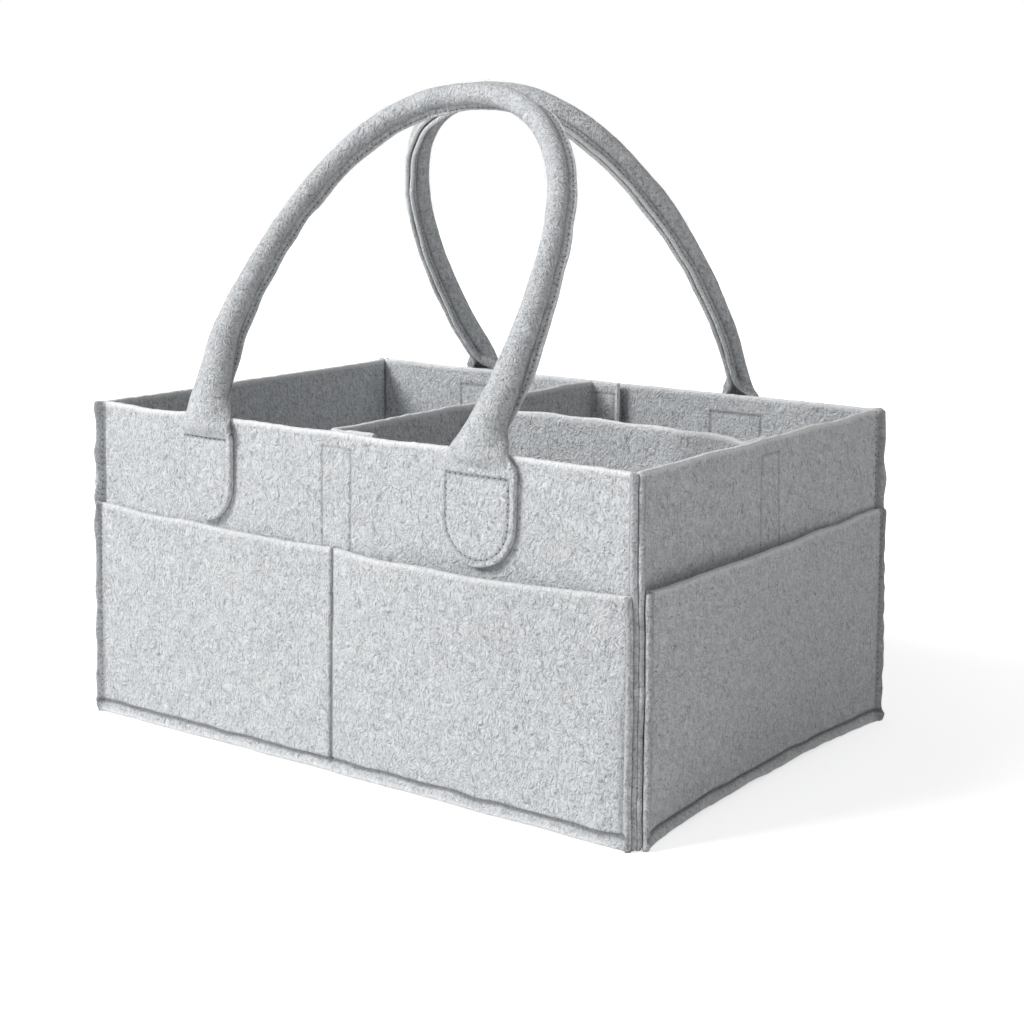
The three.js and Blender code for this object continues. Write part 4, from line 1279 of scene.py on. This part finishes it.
def newTree(name, inputs):
    tree = bpy.data.node_groups.new(name, "GeometryNodeTree")
    tree.interface.new_socket("Geometry", in_out="INPUT", socket_type="NodeSocketGeometry")
    for label, kind in inputs:
        tree.interface.new_socket(label, in_out="INPUT", socket_type=kind)
    tree.interface.new_socket("Geometry", in_out="OUTPUT", socket_type="NodeSocketGeometry")
    given, result = tree.nodes.new("NodeGroupInput"), tree.nodes.new("NodeGroupOutput")

    def add(kind, values=None, **settings):
        node = tree.nodes.new(kind)
        for key, value in settings.items():
            setattr(node, key, value)
        for key, value in (values or {}).items():
            if isinstance(value, bpy.types.NodeSocket):
                tree.links.new(value, node.inputs[key])
            else:
                node.inputs[key].default_value = value
        return node

    return tree, given.outputs, result, add


def calculate(add, kind, first, second):
    node = add("ShaderNodeMath", {0: first, 1: second}, operation=kind)
    return node.outputs[0]


def vectorOf(add, x, y, z):
    return add("ShaderNodeCombineXYZ", {"X": x, "Y": y, "Z": z}).outputs[0]


def finishTree(tree, add, result, instances, material):
    real = add("GeometryNodeRealizeInstances", {"Geometry": instances}).outputs[0]
    smooth = add("GeometryNodeSetShadeSmooth", {"Geometry": real}).outputs[0]
    coloured = add("GeometryNodeSetMaterial", {"Geometry": smooth, "Material": material}).outputs[0]
    tree.links.new(coloured, result.inputs[0])
    return tree


def stitchTree():
    floatKind = "NodeSocketFloat"
    tree, given, result, add = newTree("stitchesAlongSeams", [
        ("Pitch", floatKind), ("Length", floatKind), ("Width", floatKind), ("Hole", floatKind),
        ("Seed", "NodeSocketInt"), ("Material", "NodeSocketMaterial")])
    curve = add("GeometryNodeMeshToCurve", {"Mesh": given["Geometry"]}).outputs[0]
    resampled = add("GeometryNodeResampleCurve", {"Curve": curve, "Length": given["Pitch"]}, mode="LENGTH")
    ball = add("GeometryNodeMeshUVSphere", {"Segments": 6, "Rings": 5, "Radius": 0.5}).outputs[0]
    size = vectorOf(add, given["Length"], given["Width"], given["Width"])
    stitch = add("GeometryNodeTransform", {"Geometry": ball, "Scale": size}).outputs[0]
    # a shallow dark bead, halfway to the next stitch, is painted shade where the needle went through
    bead = add("GeometryNodeMeshUVSphere", {"Segments": 6, "Rings": 4, "Radius": 0.5}).outputs[0]
    flat = calculate(add, "MULTIPLY", given["Hole"], 0.55)
    holeSize = vectorOf(add, given["Hole"], calculate(add, "MULTIPLY", given["Hole"], 0.8), flat)
    beside = vectorOf(add, calculate(add, "MULTIPLY", given["Pitch"], 0.5), 0.0, 0.0)
    hole = add("GeometryNodeTransform", {
        "Geometry": bead, "Scale": holeSize, "Translation": beside}).outputs[0]
    marked = add("GeometryNodeStoreNamedAttribute", {
        "Geometry": hole, "Name": "hole", "Value": 1.0}, data_type="FLOAT", domain="POINT").outputs[0]
    join = add("GeometryNodeJoinGeometry")
    tree.links.new(marked, join.inputs[0])
    tree.links.new(stitch, join.inputs[0])
    up = add("GeometryNodeInputNamedAttribute", {"Name": "up"}, data_type="FLOAT_VECTOR").outputs[0]
    along = add("GeometryNodeInputTangent").outputs[0]
    turn = add("FunctionNodeAxesToRotation", {0: up, 1: along}, primary_axis="Z", secondary_axis="X")
    vary = add("FunctionNodeRandomValue", {
        "Min": (0.9, 0.85, 0.85), "Max": (1.08, 1.15, 1.15), "Seed": given["Seed"]}, data_type="FLOAT_VECTOR")
    instances = add("GeometryNodeInstanceOnPoints", {
        "Points": resampled.outputs[0], "Instance": join.outputs[0],
        "Rotation": turn.outputs[0], "Scale": vary.outputs[0]}).outputs[0]
    return finishTree(tree, add, result, instances, given["Material"])


def pileTree():
    floatKind = "NodeSocketFloat"
    tree, given, result, add = newTree("pileOnPoints", [
        ("Length", floatKind), ("Height", floatKind), ("End", floatKind), ("Thickness", floatKind),
        ("Turn", floatKind), ("Seed", "NodeSocketInt"), ("Material", "NodeSocketMaterial")])
    # one hair is a thin arc that rises to its height and comes down to its end
    middle = vectorOf(add, calculate(add, "MULTIPLY", given["Length"], 0.55), 0.0, given["Height"])
    end = vectorOf(add, given["Length"], 0.0, given["End"])
    arc = add("GeometryNodeCurveQuadraticBezier", {
        "Resolution": 3, "Start": (0, 0, 0), "Middle": middle, "End": end}).outputs[0]
    ring = add("GeometryNodeCurvePrimitiveCircle", {"Resolution": 3, "Radius": given["Thickness"]}).outputs[0]
    hair = add("GeometryNodeCurveToMesh", {"Curve": arc, "Profile Curve": ring, "Fill Caps": True}).outputs[0]
    up = add("GeometryNodeInputNamedAttribute", {"Name": "up"}, data_type="FLOAT_VECTOR").outputs[0]
    turn = add("FunctionNodeAxesToRotation", {
        0: up, 1: (0.02, 0.03, 1.0)}, primary_axis="Z", secondary_axis="X").outputs[0]
    vary = add("FunctionNodeRandomValue", {
        "Min": (0.6, 0.6, 0.6), "Max": (1.35, 1.2, 1.25), "Seed": given["Seed"]},
        data_type="FLOAT_VECTOR").outputs[0]
    instances = add("GeometryNodeInstanceOnPoints", {
        "Points": given["Geometry"], "Instance": hair, "Rotation": turn, "Scale": vary}).outputs[0]
    about = add("FunctionNodeRandomValue", {
        2: calculate(add, "MULTIPLY", given["Turn"], -1.0), 3: given["Turn"],
        "Seed": calculate(add, "ADD", given["Seed"], 7.0)}, data_type="FLOAT").outputs[1]
    spun = add("GeometryNodeRotateInstances", {
        "Instances": instances, "Rotation": vectorOf(add, 0.0, 0.0, about), "Local Space": True}).outputs[0]
    return finishTree(tree, add, result, spun, given["Material"])


def growOn(name, points, normals, edges, tree, values):
    mesh = bpy.data.meshes.new(name)
    mesh.from_pydata((points * metre).tolist(), edges, [])
    mesh.attributes.new("up", "FLOAT_VECTOR", "POINT").data.foreach_set("vector", normals.astype("f").ravel())
    seed = bpy.data.objects.new(name + "_line", mesh)
    bpy.context.scene.collection.objects.link(seed)
    modifier = seed.modifiers.new("grow", "NODES")
    modifier.node_group = tree
    for item in tree.interface.items_tree:
        if item.in_out == "INPUT" and item.name in values:
            modifier[item.identifier] = values[item.name]
    graph = bpy.context.evaluated_depsgraph_get()
    evaluated = seed.evaluated_get(graph)
    grown = bpy.data.meshes.new_from_object(evaluated, preserve_all_data_layers=True, depsgraph=graph)
    grown.name = name
    seed.modifiers.clear()
    bpy.data.objects.remove(seed)
    piece = bpy.data.objects.new(name, grown)
    bpy.context.scene.collection.objects.link(piece)
    return piece


def joined(parts):  # the points of several rows as one run, and their normals
    return np.concatenate([part[0] for part in parts]), np.concatenate([part[1] for part in parts])


def strung(parts):  # the edges that string each row's points together
    edges, start = [], 0
    for part in parts:
        edges += [(start + index, start + index + 1) for index in range(len(part[0]) - 1)]
        start += len(part[0])
    return edges


def carry(piece, body):
    if body.endswith("handle"):
        blendHandle(piece)
    else:
        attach(piece, body)


# What stands on the felt and the tapes, in metres. Turn is how far each may swing about, in radians.
stitchLook = {
    "Pitch": 0.003, "Length": 0.0023, "Width": 0.0006, "Hole": 0.00115, "Seed": 4, "Material": thread,
}
hookLook = {
    "Length": 0.00045, "Height": 0.0013, "End": 0.0003, "Thickness": 0.00009,
    "Turn": 0.35, "Seed": 5, "Material": hookFace,
}
loopLook = {
    "Length": 0.0011, "Height": 0.0011, "End": 0.0001, "Thickness": 0.00006,
    "Turn": 3.14, "Seed": 6, "Material": loopFace,
}
fibreLook = {
    "Length": 0.0026, "Height": 0.0009, "End": 0.0003, "Thickness": 0.00003,
    "Turn": 3.14, "Seed": 8, "Material": fibre,
}
fibreCounts = {
    "box": 9000, "front_handle": 2200, "back_handle": 2200, "cross_divider": 1500, "half_divider": 1200,
}
lowestFibre = 3.5  # a fibre that stood lower would reach below the ground

sewing = stitchTree()
for bodyName, rows in seams.items():
    carry(growOn(f"{bodyName}_stitches", *joined(rows), strung(rows), sewing, stitchLook), bodyName)
print("stitches sewn")

pile = pileTree()
for (bodyName, kind), rows in piles.items():
    look = loopLook if kind == "loop" else hookLook
    carry(growOn(f"{bodyName}_{kind}s", *joined(rows), [], pile, look), bodyName)


def scattered(sheet, count, rng):  # points spread evenly over both faces of a sheet
    found = []
    for face in ("outer", "inner"):
        grid = sheet[face]
        sideways, upwards = np.diff(grid[:-1], axis=1), np.diff(grid[:, :-1], axis=0)
        area = np.linalg.norm(np.cross(sideways, upwards), axis=-1)
        picks = rng.choice(area.size, count // 2, p=area.ravel() / area.sum())
        r, c = np.unravel_index(picks, area.shape)
        s, t = rng.random((2, len(picks), 1))
        sign = 1 if face == "outer" else -1
        spot, away = insideCell(grid, r, c, s, t), unit(sheet["normal"][r, c]) * sign
        kept = spot[:, 2] > lowestFibre
        found.append((spot[kept], away[kept]))
    return found


for bodyName, bodySheets in sheets.items():
    rng = np.random.default_rng(900 + len(bodyName))
    rows = []
    for sheet in bodySheets:
        rows += scattered(sheet, fibreCounts[bodyName] // len(bodySheets), rng)
    carry(growOn(f"{bodyName}_loose_fibres", *joined(rows), [], pile, fibreLook), bodyName)
print("hooks, loops and fibres grown")


# Stage and light

stageLook = {
    "floorSize": 8.0, "floorColour": 0.93, "nearGlow": 0.62, "farGlow": 1.0, "glowFrom": 0.25, "glowTo": 1.1,
    "worldStrength": 0.325, "keyPower": 93.0, "keyPlace": (-1.6, -2.3, 2.1), "keySize": 1.3,
    "keyAim": (0, 0, 0.12),
}


def makeFloor(look):  # white for the camera alone, and more so further out
    half = look["floorSize"] / 2
    mesh = bpy.data.meshes.new("floor")
    corners = [(-half, -half, 0), (half, -half, 0), (half, half, 0), (-half, half, 0)]
    mesh.from_pydata(corners, [], [(0, 1, 2, 3)])
    floor = bpy.data.objects.new("floor", mesh)
    bpy.context.scene.collection.objects.link(floor)
    material, nodes, links, shader = newMaterial("paleFloor")
    shader.inputs["Base Color"].default_value = (look["floorColour"],) * 3 + (1,)
    shader.inputs["Roughness"].default_value = 1.0
    away = nodes.new("ShaderNodeVectorMath")
    away.operation = "LENGTH"
    links.new(nodes.new("ShaderNodeTexCoord").outputs["Object"], away.inputs[0])
    fade = nodes.new("ShaderNodeMapRange")
    fade.inputs["From Min"].default_value = look["glowFrom"]
    fade.inputs["From Max"].default_value = look["glowTo"]
    fade.inputs["To Min"].default_value = look["nearGlow"]
    fade.inputs["To Max"].default_value = look["farGlow"]
    links.new(away.outputs["Value"], fade.inputs["Value"])
    path = nodes.new("ShaderNodeLightPath")
    glow = nodes.new("ShaderNodeMath")
    glow.operation = "MULTIPLY"
    links.new(fade.outputs[0], glow.inputs[1])
    links.new(path.outputs["Is Camera Ray"], glow.inputs[0])
    shader.inputs["Emission Color"].default_value = (1, 1, 1, 1)
    links.new(glow.outputs[0], shader.inputs["Emission Strength"])
    mesh.materials.append(material)


def makeLight(look):
    world = bpy.data.worlds.new("studio")
    bpy.context.scene.world = world
    world.use_nodes = True
    nodes, links = world.node_tree.nodes, world.node_tree.links
    background = nodes["Background"]
    background.inputs["Color"].default_value = (1, 1, 1, 1)
    path = nodes.new("ShaderNodeLightPath")
    strength = nodes.new("ShaderNodeMix")
    strength.inputs[2].default_value = look["worldStrength"]
    strength.inputs[3].default_value = 1.0
    seen = nodes.new("ShaderNodeMath")
    seen.operation = "MAXIMUM"
    links.new(path.outputs["Is Camera Ray"], seen.inputs[0])
    links.new(path.outputs["Is Glossy Ray"], seen.inputs[1])
    links.new(seen.outputs[0], strength.inputs[0])
    links.new(strength.outputs[0], background.inputs["Strength"])
    data = bpy.data.lights.new("key", "AREA")
    data.energy = look["keyPower"]
    data.size = look["keySize"]
    key = bpy.data.objects.new("key", data)
    bpy.context.scene.collection.objects.link(key)
    key.location = look["keyPlace"]
    aim = Vector(look["keyAim"]) - key.location
    key.rotation_euler = aim.to_track_quat("-Z", "Y").to_euler()
    bpy.context.scene.view_settings.view_transform = "Standard"


makeFloor(stageLook)
makeLight(stageLook)
print("stage lit")
